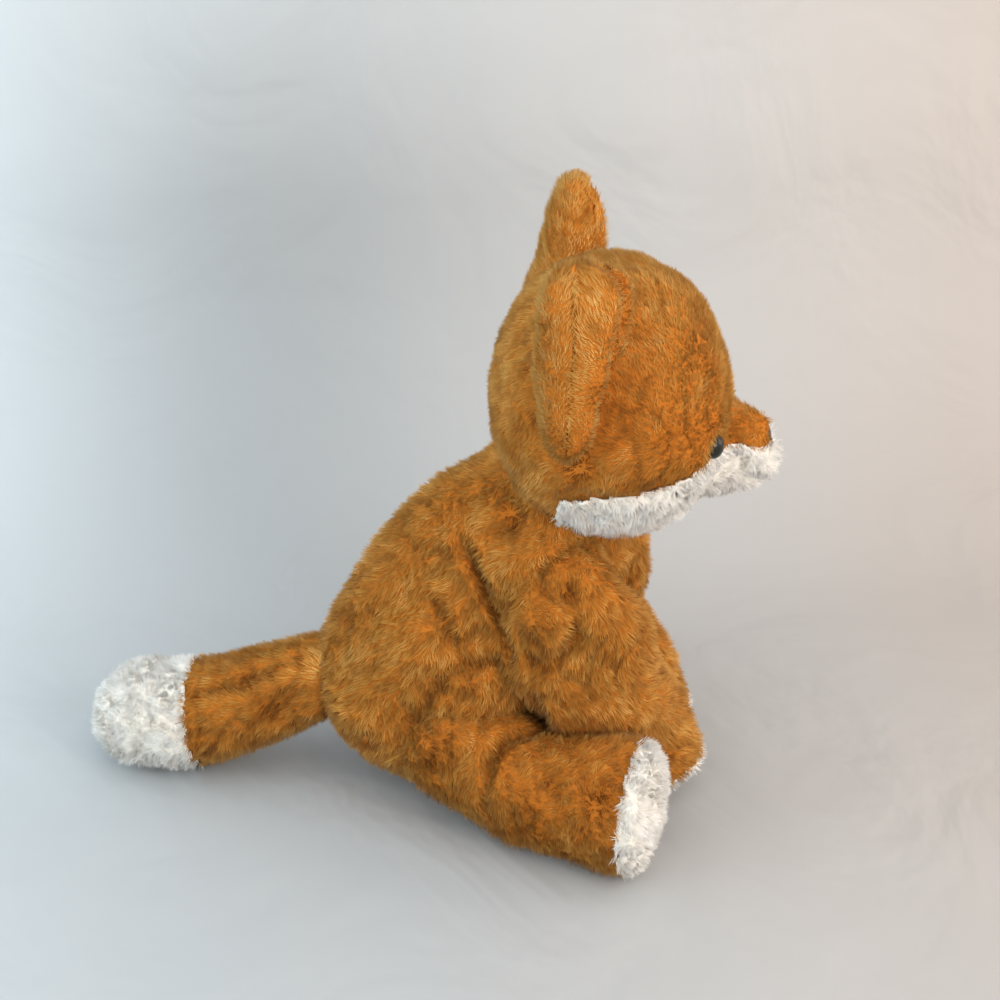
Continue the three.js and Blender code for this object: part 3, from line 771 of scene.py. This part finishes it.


# %% [markdown]
# The pile is darker at its roots, a painted shade where little light gets in, and paler at the
# tips, a painted highlight where the light catches them. Each tuft has its own shade, and wide
# patches drift between a browner and a yellower orange. The strands carry two attributes for this:
# along, from root to tip, and tone.

# %% Plush materials
def plush(name, root, middle, tip, patch, deep, pale, roughness=0.8, sheen=0.1):
    """Root to tip colour by the attribute along, with slow noise patches: the dark root is painted shade
    and the pale tip a painted highlight. A low tone moves it to the deep colour and a high one to the
    pale colour, and tone also scales the brightness a little. Where the tone comes from folds,
    partings and piece levels, deep and pale are painted shade and painted light."""
    material, start, shader = new_material(name, roughness, Sheen_Weight=sheen, Sheen_Roughness=0.4,
                                           Sheen_Tint=(1.0, 0.75, 0.45, 1.0), Specular_IOR_Level=0.1)
    along = start.node("ShaderNodeAttribute", {"attribute_name": "along"}, output=2)
    tone = start.node("ShaderNodeAttribute", {"attribute_name": "tone"}, output=2)
    where = start.node("ShaderNodeTexCoord", output=3)
    patches = noise(start, where, 28.0, 3.0)
    color = start.node("ShaderNodeValToRGB", {"stops": [(0.0, root), (0.45, middle), (1.0, tip)]}, {0: along})
    tinted = blended(start, (patches * 1.6 - 0.45) * 0.5, color, patch)
    low = start.node("ShaderNodeMapRange", {}, {0: tone, 1: 0.3, 2: -2.2, 3: 0.0, 4: 0.85})
    high = start.node("ShaderNodeMapRange", {}, {0: tone, 1: 0.1, 2: 1.6, 3: 0.0, 4: 0.7})
    shaded = blended(start, high, blended(start, low, tinted, deep), pale)
    link(start.node("ShaderNodeHueSaturation", {}, {"Color": shaded, "Value": 1.0 + tone * 0.12}),
         shader.inputs["Base Color"])
    return material


orange_pile = plush("orange pile", linear(180, 108, 40), linear(208, 143, 60), linear(224, 173, 92),
                    linear(212, 131, 46), linear(128, 62, 18), linear(238, 194, 118))
white_pile = plush("white pile", linear(242, 237, 227), linear(252, 249, 243), linear(254, 253, 250),
                   linear(250, 246, 240), linear(226, 220, 210), linear(254, 253, 250),
                   roughness=0.9, sheen=0.0)
print("plush materials ready")

# %% [markdown]
# Between the strands the knitted backing shows, with the dense undercoat of the pile on it. It has
# the colour of the roots, in fine loops.

# %% Backing and fibre materials
def knitted(name, dark, light, loops, roughness=0.95, bump=0.3):
    """Fine noise between two colours, with the same noise as bumps."""
    material, start, shader = new_material(name, roughness, Specular_IOR_Level=0.1)
    where = start.node("ShaderNodeTexCoord", output=3)
    fine, wide = noise(start, where, loops, 4.0), noise(start, where, 60.0, 2.0)
    link(blended(start, fine * 0.7 + wide * 0.3, dark, light), shader.inputs["Base Color"])
    bumps = start.node("ShaderNodeBump", {}, {"Height": fine, "Strength": bump, "Distance": 0.001})
    link(bumps, shader.inputs["Normal"])
    return material


orange_backing = knitted("orange backing", linear(170, 96, 30), linear(208, 128, 46), 700.0)
white_backing = knitted("white backing", linear(226, 220, 208), linear(246, 243, 236), 700.0)
stuffing_fibre = knitted("stuffing fibre", linear(214, 212, 206), linear(248, 247, 243), 220.0, bump=0.8)
pellet_cloth = knitted("pellet cloth", linear(196, 190, 176), linear(226, 221, 208), 900.0)
washer_plastic = knitted("washer plastic", linear(222, 220, 212), linear(240, 238, 232), 300.0, roughness=0.5,
                         bump=0.1)

# %% [markdown]
# A strand of pile is a thin closed spike with three sides. Its root sits on the cloth, and it leans
# over with the brushing. Neighbouring strands stick together: each one is drawn towards the middle
# of its tuft, and that leaves the dark partings that fur shows. The pile is clipped round the eyes
# and the nose, so that none of it stands in front of them.
#
# Each strand has a tone. It is the piece's level of painted light and shade, plus the tuft's and
# the drift's, and it is low where the pile is crushed, pitted, whorled or down in a fold, which is
# painted shade. A fold in this list may also be a line where only the tone changes, and a swelling,
# with a negative depth, gets a little painted light.

# %% Growing the pile
def surface_of(thing):
    """Points, normals and triangles of the finished cloth, without its thickness."""
    mesh = thing.data
    mesh.calc_loop_triangles()
    corners = np.empty(3 * len(mesh.loop_triangles), np.int32)
    mesh.loop_triangles.foreach_get("vertices", corners)
    return points_of(mesh), normals_of(mesh), corners.reshape(-1, 3)


def unit(vectors):
    """Each vector divided by its length."""
    return vectors / np.maximum(np.linalg.norm(vectors, axis=-1, keepdims=True), 1e-9)


EYES = {"left_eye": place(134.4, 34.2, 197), "right_eye": place(134.4, -34.2, 197)}
NOSE = place(160.5, 0, 189)
CLEAR_ZONES = [(turned_head(spot), 5.2) for spot in EYES.values()] + [(turned_head(NOSE), 6.4)]
LEAST_HEIGHT = 0.4
ROOT_DEPTH = 0.6


def grow(name, thing, per_mm2, flow, length, lean, seed, material, width, tuft, gather, swirl=0.6, whorls=(),
         keep=None, folds=(), shade=0.0, stray=0.6, parting_shade=1.0, mottle=1.1, glow=0.0):
    """Strands spread evenly over the cloth's triangles.
    direction = flow along the cloth, turned by a slow drift, away from the middle of each whorl
    tip = root + length * (cos(lean) * normal + sin(lean) * direction) + gather * way to the tuft"""
    rng = np.random.default_rng(seed)
    points, normals, triangles = surface_of(thing)
    a, b, c = (points[triangles[:, k]] for k in range(3))
    area = np.linalg.norm(np.cross(b - a, c - a), axis=1) / 2
    count = int(area.sum() * per_mm2)
    chosen = np.searchsorted(np.cumsum(area) / area.sum(), np.sort(rng.random(count)))
    share = rng.dirichlet([1, 1, 1], count)
    root = (points[triangles[chosen]] * share[..., None]).sum(1)
    normal = unit((normals[triangles[chosen]] * share[..., None]).sum(1))
    kept = np.ones(count, bool) if keep is None else keep(root)
    for spot, clear in CLEAR_ZONES:
        kept &= np.linalg.norm(root - spot, axis=1) > clear
    root, normal = root[kept], normal[kept]
    count = len(root)
    direction = flow(root)
    direction = unit(direction - normal * (direction * normal).sum(1, keepdims=True))
    angle = swirl * drift(root, 34.0, seed + 1) + 0.5 * swirl * drift(root, 13.0, seed + 2)
    sideways = np.cross(normal, direction)
    direction = direction * np.cos(angle)[:, None] + sideways * np.sin(angle)[:, None]
    for centre, size in whorls:
        away = root - np.asarray(centre, float)
        far = np.linalg.norm(away, axis=1, keepdims=True)
        weight = 0.8 * np.exp(-((far / size) ** 2))
        outward = unit(away - normal * (away * normal).sum(1, keepdims=True))
        direction = unit(direction * (1 - weight) + outward * weight)
    middle, chance = nearest_tuft(root, tuft, seed)
    toward = middle - root
    toward -= normal * (toward * normal).sum(1, keepdims=True)
    tilt = lean + 0.2 * (chance[:, :1] - 0.5) + 0.1 * rng.normal(size=(count, 1))
    reach = length * (0.9 + 0.2 * chance[:, 1:2]) * rng.uniform(0.88, 1.05, (count, 1))
    loose = rng.normal(size=(count, 3)) * 0.12 + (chance - 0.5) * stray
    aim = unit(normal * np.cos(tilt) + direction * np.sin(tilt) + loose * np.sin(tilt))
    rough = np.clip(0.45 + 0.6 * drift(root, 26.0, seed + 3), 0, 1.0)
    tip = root + reach * aim + gather * (0.35 + rough)[:, None] * toward
    tip[:, 2] = np.maximum(tip[:, 2], LEAST_HEIGHT)
    own_shade = rng.normal(size=(2, count))[1]  # the first row of draws is left unused
    # tone: the piece's level of painted light and shade, the tuft's and the drift's own tone, then painted
    # shade along crush lines, in pits, at whorls and in folds
    tone = shade + mottle * (chance[:, 2] - 0.5) + 0.08 * own_shade - 0.4 * rough + 0.2
    tone += 0.3 * drift(root, 22.0, seed + 4) + 0.2 * drift(root, 8.0, seed + 5)
    tone -= parting_shade * (0.9 * crushed(root) + 1.3 * pitted(root, seed + 6))
    for centre, size in whorls:
        far = np.linalg.norm(root - np.asarray(centre, float), axis=1)
        tone -= 1.4 * np.exp(-((far / (0.4 * size)) ** 2))
    # painted shade down in each fold, and a little painted light on each swelling
    for line, wide, depth in folds:
        near = np.exp(-((distance_to_line(root, line)[0] / wide) ** 2))
        tone -= (0.25 if depth > 0 else 0.05) * depth * near
    strands(name, root - normal * ROOT_DEPTH, tip, normal, width, material, tone, rng, glow)
    return count


# %% [markdown]
# All strands of a piece share one mesh, which is filled in whole arrays. Hair this fine scatters
# light like the surface that it lies on, so each strand is shaded with a normal between the cloth's
# and its own direction. Each strand has its own small cell in a UV map, root at the bottom and tip
# at the top, so that a picture can hold the colours of every strand.

# %% Strands as one mesh
STRAND_FACES = np.array([[0, 2, 1], [0, 1, 3], [1, 2, 3], [2, 0, 3]])
STRAND_CELL = np.array([[0.15, 0.1], [0.5, 0.1], [0.85, 0.1], [0.15, 0.9]])
PIECE_STRANDS = 49000


def strands(name, root, tip, outward, width, material, tone, rng, glow):
    """Three points round each root, ended by the tip. Two of the three are on the outer side, so that
    a strand shows its flat side outwards. glow turns the shading upwards, as light comes through
    pale pile from above."""
    count = len(root)
    aim = unit(tip - root)
    upper = unit(outward - aim * (outward * aim).sum(1, keepdims=True))
    across = np.cross(upper, aim)
    turn = np.radians([30.0, 150.0, 270.0]) + 0.35 * rng.normal(size=(count, 1))
    ring = across[:, None] * np.cos(turn)[..., None] + upper[:, None] * np.sin(turn)[..., None]
    points = np.concatenate([root[:, None] + ring * width / 2, tip[:, None]], 1)
    per = points.shape[1]
    index = (np.arange(count) * per)[:, None, None] + STRAND_FACES
    mesh = bpy.data.meshes.new(name)
    mesh.vertices.add(count * per)
    mesh.vertices.foreach_set("co", (points * MM).astype(np.float32).ravel())
    mesh.loops.add(index.size)
    mesh.loops.foreach_set("vertex_index", index.astype(np.int32).ravel())
    mesh.polygons.add(index.size // 3)
    mesh.polygons.foreach_set("loop_start", np.arange(0, index.size, 3, dtype=np.int32))
    mesh.update(calc_edges=True)
    soft = unit(outward + 0.6 * aim + [0.0, 0.0, glow])
    mesh.attributes.new("custom_normal", "FLOAT_VECTOR", "POINT").data.foreach_set(
        "vector", np.repeat(soft, per, 0).astype(np.float32).ravel())
    for label, values in (("along", np.tile([0.0, 0.0, 0.0, 1.0], count)), ("tone", np.repeat(tone, per))):
        mesh.attributes.new(label, "FLOAT", "POINT").data.foreach_set("value", values.astype(np.float32))
    cells = int(np.ceil(np.sqrt(count)))
    corner = np.stack([np.arange(count) % cells, np.arange(count) // cells], 1)[:, None]
    uv = ((corner + STRAND_CELL) / cells)[np.arange(count)[:, None, None], STRAND_FACES]
    layer = mesh.uv_layers.new(name="OFBake")
    layer.uv.foreach_set("vector", uv.astype(np.float32).ravel())
    mesh.materials.append(material)
    made = bpy.data.objects.new(name, mesh)
    bpy.context.scene.collection.objects.link(made)
    return made


# %% [markdown]
# The pile is brushed from the head towards the tail on the body, and towards the end of each limb.
# On the head it runs back from the muzzle, up over the brow and down behind the ears, and on the ears
# it runs up towards the tip.

# %% Which way the pile is brushed
def along_limb(rows, side):
    """A flow that follows the stations' curve, for side 1 or -1."""
    t = np.linspace(0, 1, 40)
    spots = places(curve_through(np.array(rows), t)[:, :3], side)
    ways = unit(np.gradient(spots, axis=0))

    def flow(points):
        """The curve's direction at the spot on it that is nearest to each point."""
        near = ((points[:, None] - spots) ** 2).sum(-1).argmin(1)
        return ways[near]

    return flow


def body_flow(points):
    """Down and back, from the neck to the rump, and less back towards the front."""
    back = np.interp(points[:, 1], [-80, 60], [-0.1, 0.5])
    return np.stack([0 * back, back, -np.ones(len(points))], 1)


def head_flow(points):
    """Away from the tip of the muzzle, up over the brow, and down on the cheeks and behind the ears."""
    away = unit(points - np.array([-6.0, -150.0, 200.0]))
    rise = np.clip((points[:, 2] - 204) / 20, -1, 1) * np.interp(points[:, 1], [-50, -10], [0.9, -0.2])
    down = np.interp(points[:, 1], [-60, 0], [0.0, 0.8])
    return away * 0.6 + np.stack([0 * down, 0 * down, rise - down], 1)


def ear_flow(front):
    """Up towards the tip, and over the rim towards the other layer."""
    over = 0.8 if front else -0.8
    return lambda points: np.stack([0.3 * np.sign(points[:, 0]), np.full(len(points), over),
                                    np.ones(len(points))], 1)


# %% [markdown]
# The orange pile is long and lies flat. On the head and the ears it is clipped shorter and lies more
# evenly, so the face stays smooth. Each cover first sinks a little along its crush lines, and then
# the pile grows on it. The body's pile is in four pieces and the head's in two, because one piece
# would be very large. On an ear the pile stands on the outside of each layer.

# %% The orange pile
ORANGE = dict(per_mm2=1.25, length=5.2, lean=0.86, material=orange_pile, width=0.49, tuft=3.0, gather=0.42)
SHORT = dict(ORANGE, length=4.2, lean=0.95, swirl=0.3, gather=0.15, stray=0.3, mottle=0.7)
grown = {}
seeds = iter(range(100, 200))


def pile(node, part, **choices):
    """Grows one piece of pile on the cover of a CAD node."""
    name = f"{node}_pile{part}"
    count = grow(name, outsides.get(node, covers[node]), seed=next(seeds), **choices)
    assert count <= PIECE_STRANDS, (name, count)
    grown[name] = node
    print(name, count, "strands")


BODY_WHORLS = [((-31, -21, 163), 8.0), ((-34, 48, 43), 7.0), ((-41, 18, 108), 7.0)]
HEAD_WHORLS = [((-63, -48, 198), 13.0)]
for thing in (*covers.values(), *outsides.values()):
    parted(thing)
# painted highlight on the muzzle's top, painted shade beside the ears and in the folds: only the tone
muzzle_painted_highlight = [([turned_head(place(153, 0, 204))], 17.0, -16.0)]
ear_painted_shade = [(line, 8.0, 3.0) for lines in rims.values() for line, _, _ in lines]
head_painted_light_and_shade = head_folds + ear_painted_shade + muzzle_painted_highlight
HALVES = (("_left", lambda p: p[:, 0] > 0), ("_right", lambda p: p[:, 0] <= 0))
LEVELS = (("_upper", lambda p: p[:, 2] > 92), ("_lower", lambda p: p[:, 2] <= 92))
# The level given to each piece below is painted light on the ears and painted shade on the body, legs and
# tail, and each pile's fold lines paint shade into its tone.
for half, on_half in HALVES:
    for level, on_level in LEVELS:
        pile("body_cover", half + level, flow=body_flow, keep=lambda p: on_half(p) & on_level(p),
             whorls=BODY_WHORLS, folds=body_folds, shade=-0.1, **ORANGE)
    pile("head_cover", half, flow=head_flow, keep=on_half, whorls=HEAD_WHORLS, folds=head_painted_light_and_shade, **SHORT)
for label, side in (("left", 1), ("right", -1)):
    pile(f"{label}_foreleg_cover", "", flow=along_limb(FORELEG, side),
         whorls=[((side * 58, -31, 122), 12.0)], folds=on_side(FORELEG_FOLDS, side), shade=-0.1, **ORANGE)
    pile(f"{label}_hind_leg_cover", "", flow=along_limb(HIND_LEG, side),
         whorls=[((side * 97, -54, 46), 17.0)], folds=on_side(HIND_LEG_FOLDS, side), shade=-0.45, **ORANGE)
    for layer in ("back", "front"):
        ear = f"{label}_ear_{layer}"
        pile(ear, "", flow=ear_flow(layer == "front"), folds=rims[ear], shade=0.5, **SHORT)
pile("tail_cover", "", flow=along_limb(TAIL, 1), folds=TAIL_FOLDS, shade=-0.3, **ORANGE)

# %% [markdown]
# The white pile is a curlier cloth: its tufts are bigger, draw together more and turn every way. It
# lets light through, so its shading is turned upwards a little.

# %% The white pile
WHITE = dict(per_mm2=1.65, length=4.4, lean=0.65, material=white_pile, width=0.5, tuft=3.8, gather=0.65,
             swirl=2.5, parting_shade=0.4, stray=0.4, glow=0.45)
WHITE_LIMB_ENDS = {
    "left_paw_pad": (FORELEG, 1), "right_paw_pad": (FORELEG, -1),
    "left_sole": (HIND_LEG, 1), "right_sole": (HIND_LEG, -1),
    "tail_tip": (TAIL, 1),
}
for node, (rows, side) in WHITE_LIMB_ENDS.items():
    pile(node, "", flow=along_limb(rows, side), **WHITE)
pile("jaw_panel", "", flow=head_flow, **WHITE)
for sheet in outsides.values():
    bpy.data.objects.remove(sheet)
faces = sum(len(bpy.data.objects[name].data.polygons) for name in grown)
print(len(grown), "pieces of pile with", faces, "faces")

# %% [markdown]
# Every cover now stands for its plain solid and rides with the same body of the model, and so does
# its pile. The covers that were cut along a seam are open sheets until they get their backing.

# %% Covers and pile in place
WHITE_NODES = ("jaw_panel", *WHITE_LIMB_ENDS)
bodies = frame["record"]["behaviour"]["bodies"]
body_of_node = {node: body for body, nodes in bodies.items() for node in nodes}
for node, thing in covers.items():
    white = node in WHITE_NODES
    thing.data.materials.append(white_backing if white else orange_backing)
    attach(thing, body_of_node[node])
    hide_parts(node)
    if node != "body_cover" and "_ear_" not in node:
        backed(thing)
for name, node in grown.items():
    strand_piece = bpy.data.objects[name]
    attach(strand_piece, body_of_node[node])
    "white_plush" if node in WHITE_NODES else "orange_plush"

# %% [markdown]
# Inside each cover is its stuffing of loose fibre, and a cloth bag of pellets lies low in the body
# so that the toy sits. None of it shows, but a cut through the toy finds it.

# %% Stuffing
INSIDE = CLOTH_DEPTH + BACKING + 3.8


def stuffing(node, forms, material=stuffing_fibre, spacing=5.0, folds=(), within=None):
    """A soft lump that fills the cover of its node. Its folds are those of the cover, 9 mm wider and
    1 mm deeper, and nothing of it comes closer than 2.5 mm to the cloth named within."""
    made = remeshed(f"{node}_lump", forms, spacing=spacing, smoothing=3)
    folded(made, [(line, width + 9.0, depth + 1.0) for line, width, depth in folds if depth > 0])
    uneven(made, 16.0, 0.4, len(node))
    if within:
        wrap = made.modifiers.new("inside the cover", "SHRINKWRAP")
        wrap.target = within
        wrap.wrap_mode = "INSIDE"
        wrap.offset = 2.5 * MM
        with_modifiers_applied(made)
    made.data.materials.append(material)
    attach(made, body_of_node[node])
    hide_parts(node)
    return made


stuffing("body_filling", [stuffed_form(TORSO, INSIDE, start_dome=RUMP_DOME - INSIDE)], folds=body_folds,
         within=body_cloth)
head_lump = stuffing("head_filling", [rounded_form(HEAD_PLACE, **smaller(HEAD, INSIDE)),
                                      stuffed_form(MUZZLE[:3], INSIDE, end_dome=4.0, along=24)],
                     folds=head_folds)
set_points(head_lump.data, turned_head(points_of(head_lump.data)))
stuffing("tail_filling", [stuffed_form(TAIL, INSIDE)], folds=TAIL_FOLDS)
for label, side in (("left", 1), ("right", -1)):
    foreleg = stuffed_form(FORELEG, INSIDE, side=side, start_dome=12.0, end_dome=1.0)
    hind_leg = stuffed_form(HIND_LEG, INSIDE, side=side, end_dome=2.0)
    stuffing(f"{label}_foreleg_filling", [foreleg], folds=on_side(FORELEG_FOLDS, side))
    stuffing(f"{label}_hind_leg_filling", [hind_leg], folds=on_side(HIND_LEG_FOLDS, side))
neck_way = unit((place(*NECK) - place(*TORSO[2, :3]))[None])[0]
neck_middle = place(*NECK) + neck_way * 44
stuffing("neck_filling", [rounded_form(neck_middle, 11, 11, 12, 11, 11)], spacing=3.0)
pellets = rounded_form(place(4, 0, 29), 27, 27, 30, 14, 15, power=2.4)
bag = stuffing("bean_bag", [pellets], material=pellet_cloth)

# %% [markdown]
# The eyes are safety eyes: a domed black button with a faint mottled tint under a clear gloss, on a
# post that a pressed washer holds from inside. The nose is a smaller button of the same kind. The
# button's profile is turned about its post.

# %% Eyes and nose
POST, POST_LENGTH = 1.6, 8.5


def glossy(name, dark, light):
    """Moulded plastic: a near-black base with a slow tint and a clear coat."""
    material, start, shader = new_material(name, 0.25, Coat_Weight=0.2, Coat_Roughness=0.05,
                                           Specular_IOR_Level=0.3)
    where = start.node("ShaderNodeTexCoord", output=3)
    link(blended(start, noise(start, where, 90.0, 2.0), dark, light), shader.inputs["Base Color"])
    return material


def button(name, spot, aim, radius, dome, material):
    """A quarter ellipse of the given radius and dome turned about aim, over a short post. spot and
    aim are written for a head that looks straight ahead."""
    spot, aim = turned_head(spot), np.array(aim, float)
    angle = np.radians(HEAD_TURN)
    aim = unit(np.array([aim[0] * np.cos(angle) - aim[1] * np.sin(angle),
                         aim[0] * np.sin(angle) + aim[1] * np.cos(angle), aim[2]])[None])[0]
    arc = np.linspace(0, np.pi / 2, 16)[:-1]
    reach = np.concatenate([[POST, POST, radius * 0.96, radius], radius * np.cos(arc[1:])])
    height = np.concatenate([[-POST_LENGTH, -0.8, -0.8, 0.0], dome * np.sin(arc[1:])])
    spare = unit(np.cross(aim, [0.0, 0.0, 1.0])[None])[0]
    other = np.cross(aim, spare)
    turn = np.linspace(0, 2 * np.pi, 40, endpoint=False)
    ring = spare * np.cos(turn)[:, None] + other * np.sin(turn)[:, None]
    rings = spot + ring[None] * reach[:, None, None] + aim * height[:, None, None]
    ends = (spot - aim * POST_LENGTH, spot + aim * dome)
    made = new_mesh_object(f"{name}_button", *skin_over(rings, *ends))
    made.data.materials.append(material)
    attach(made, "head")
    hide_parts(name)
    return made


eye_gloss = glossy("eye gloss", linear(10, 12, 9), linear(22, 28, 20))
nose_gloss = glossy("nose gloss", linear(44, 26, 17), linear(66, 42, 28))
for name, spot in EYES.items():
    button(name, spot, (np.sign(spot[0]) * 0.6, -0.8, 0.0), 5.5, 4.0, eye_gloss)
button("nose", NOSE, (0.0, -0.95, 0.31), 6.0, 3.0, nose_gloss)
for node in ("left_eye_washer", "right_eye_washer", "nose_washer"):
    frame["nodes"][node].data.materials.clear()
    frame["nodes"][node].data.materials.append(washer_plastic)
print("eyes and nose placed")

# %% [markdown]
# The toy sits on a pale sweep of cloth that rises behind it. Its colour runs from warm on the side
# that the fox looks to, to cool behind the tail, as painted warm and cool light. It is greyer on the
# floor than on the wall and dim in a patch behind the toy, both painted shade, and it has soft wide
# wrinkles.

# %% Floor and backdrop
def sweep(width=2400.0, near=-1500.0, far=340.0, rise=1500.0, bend=200.0):
    """A flat floor, a quarter circle of radius bend, and an upright wall, as one sheet."""
    floor_part = np.stack([np.linspace(near, far - bend, 12), np.zeros(12)], 1)
    a = np.linspace(0, np.pi / 2, 14)[1:-1]
    corner = np.stack([far - bend + bend * np.sin(a), bend - bend * np.cos(a)], 1)
    wall = np.stack([np.full(8, far), np.linspace(bend, rise, 8)], 1)
    profile = np.vstack([floor_part, corner, wall])
    columns = 16
    across = np.linspace(-width, width, columns)
    x, z = (np.repeat(profile[:, k:k + 1], columns, 1) for k in range(2))
    y = np.repeat(across[None], len(profile), 0)
    grid = np.stack([x, y, z], -1)
    k, j = np.meshgrid(np.arange(len(profile) - 1), np.arange(columns - 1), indexing="ij")
    here = k * columns + j
    faces = np.stack([here, here + columns, here + columns + 1, here + 1], -1).reshape(-1, 4)
    return new_mesh_object("floor_sweep", grid.reshape(-1, 3), faces.tolist())


def sweep_material():
    """Pale cloth with a painted warm to cool light. value = 0.8 on the floor to 1 on the wall, less
    0.4 / (1 + (distance / 0.2)^2) from the middle of a dim patch, both painted shade."""
    material, start, shader = new_material("pale sweep", 1.0, Specular_IOR_Level=0.0)
    where = start.node("ShaderNodeTexCoord", output=3)
    sideways = start.node("ShaderNodeSeparateXYZ", {}, {0: where}, output=1)
    height = start.node("ShaderNodeSeparateXYZ", {}, {0: where}, output=2)
    across = start.node("ShaderNodeMapRange", {}, {0: sideways, 1: -0.35, 2: 0.35, 3: 0.0, 4: 1.0})
    share = across * 0.9 + noise(start, where, 3.0, 2.0) * 0.2 - 0.05
    # painted light: warm on the fox's side, cool behind the tail
    painted_warm_cool_light = blended(start, share, linear(203, 193, 186), linear(234, 246, 254))
    # painted shade: greyer on the floor, and a dim patch behind the toy
    upright = start.node("ShaderNodeMapRange", {}, {0: height, 1: 0.0, 2: 0.25, 3: 0.8, 4: 1.0})
    aside, above = (sideways - 0.1) * 5.0, (height - 0.2) * 5.0
    hollow = upright - 0.4 / (1.0 + aside * aside + above * above)
    link(start.node("ShaderNodeHueSaturation", {}, {"Color": painted_warm_cool_light, "Value": hollow}),
         shader.inputs["Base Color"])
    wrinkles = noise(start, where, 7.0, 3.0, Distortion=1.5)
    link(start.node("ShaderNodeBump", {}, {"Height": wrinkles, "Strength": 0.25, "Distance": 0.02}),
         shader.inputs["Normal"])
    return material


floor = sweep()
floor.data.materials.append(sweep_material())


# %% [markdown]
# The light is soft window light. It is warm from the side that the fox looks to, and cool from
# behind it. The camera stands where the photograph was taken from.

# %% Lights and camera
def aimed(spot, target):
    """The turn that makes a lamp or camera at spot look at target, upright."""
    way = np.array(target, float) - np.array(spot, float)
    flat = np.hypot(way[0], way[1])
    return (np.pi / 2 + np.arctan2(way[2], flat), 0.0, np.arctan2(way[1], way[0]) - np.pi / 2)


def lamp(name, spot, target, size, power, color):
    """A square area lamp at spot, in metres, that looks at target."""
    light = bpy.data.lights.new(name, "AREA")
    light.size, light.energy, light.color = size, power, color
    made = bpy.data.objects.new(name, light)
    made.location = spot
    made.rotation_euler = aimed(spot, target)
    bpy.context.scene.collection.objects.link(made)


lamp("window", (-1.25, -1.0, 0.85), (0, 0, 0.12), 0.8, 13.0, (0.98, 0.86, 0.73))
lamp("lamp side", (0.1, -1.5, 0.7), (0, 0, 0.12), 1.0, 7.5, (1.0, 0.83, 0.68))
lamp("sky side", (-0.7, 1.5, 0.9), (0, 0, 0.12), 1.6, 10.5, (0.74, 0.93, 0.95))
lamp("ceiling", (-0.3, 0.0, 2.0), (0, 0, 0.1), 2.2, 6.5, (1.0, 0.98, 0.95))
world = bpy.data.worlds.new("soft room")
world.use_nodes = True
world.node_tree.nodes["Background"].inputs["Color"].default_value = (0.96, 0.98, 1.0, 1.0)
world.node_tree.nodes["Background"].inputs["Strength"].default_value = 1.0
bpy.context.scene.world = world

CAMERA_SPOT, CAMERA_TARGET = (-0.71107, 0.03129, 0.51617), (0.0, -0.01844, 0.15298)
SENSOR, LENS_TO_SENSOR = 36.0, 1.696
camera_data = bpy.data.cameras.new("camera")
camera_data.sensor_width = SENSOR
camera_data.lens = SENSOR * LENS_TO_SENSOR
camera = bpy.data.objects.new("camera", camera_data)
camera.location = CAMERA_SPOT
camera.rotation_euler = aimed(camera.location, CAMERA_TARGET)
bpy.context.scene.collection.objects.link(camera)
bpy.context.scene.camera = camera
bpy.context.scene.view_settings.view_transform = "Standard"
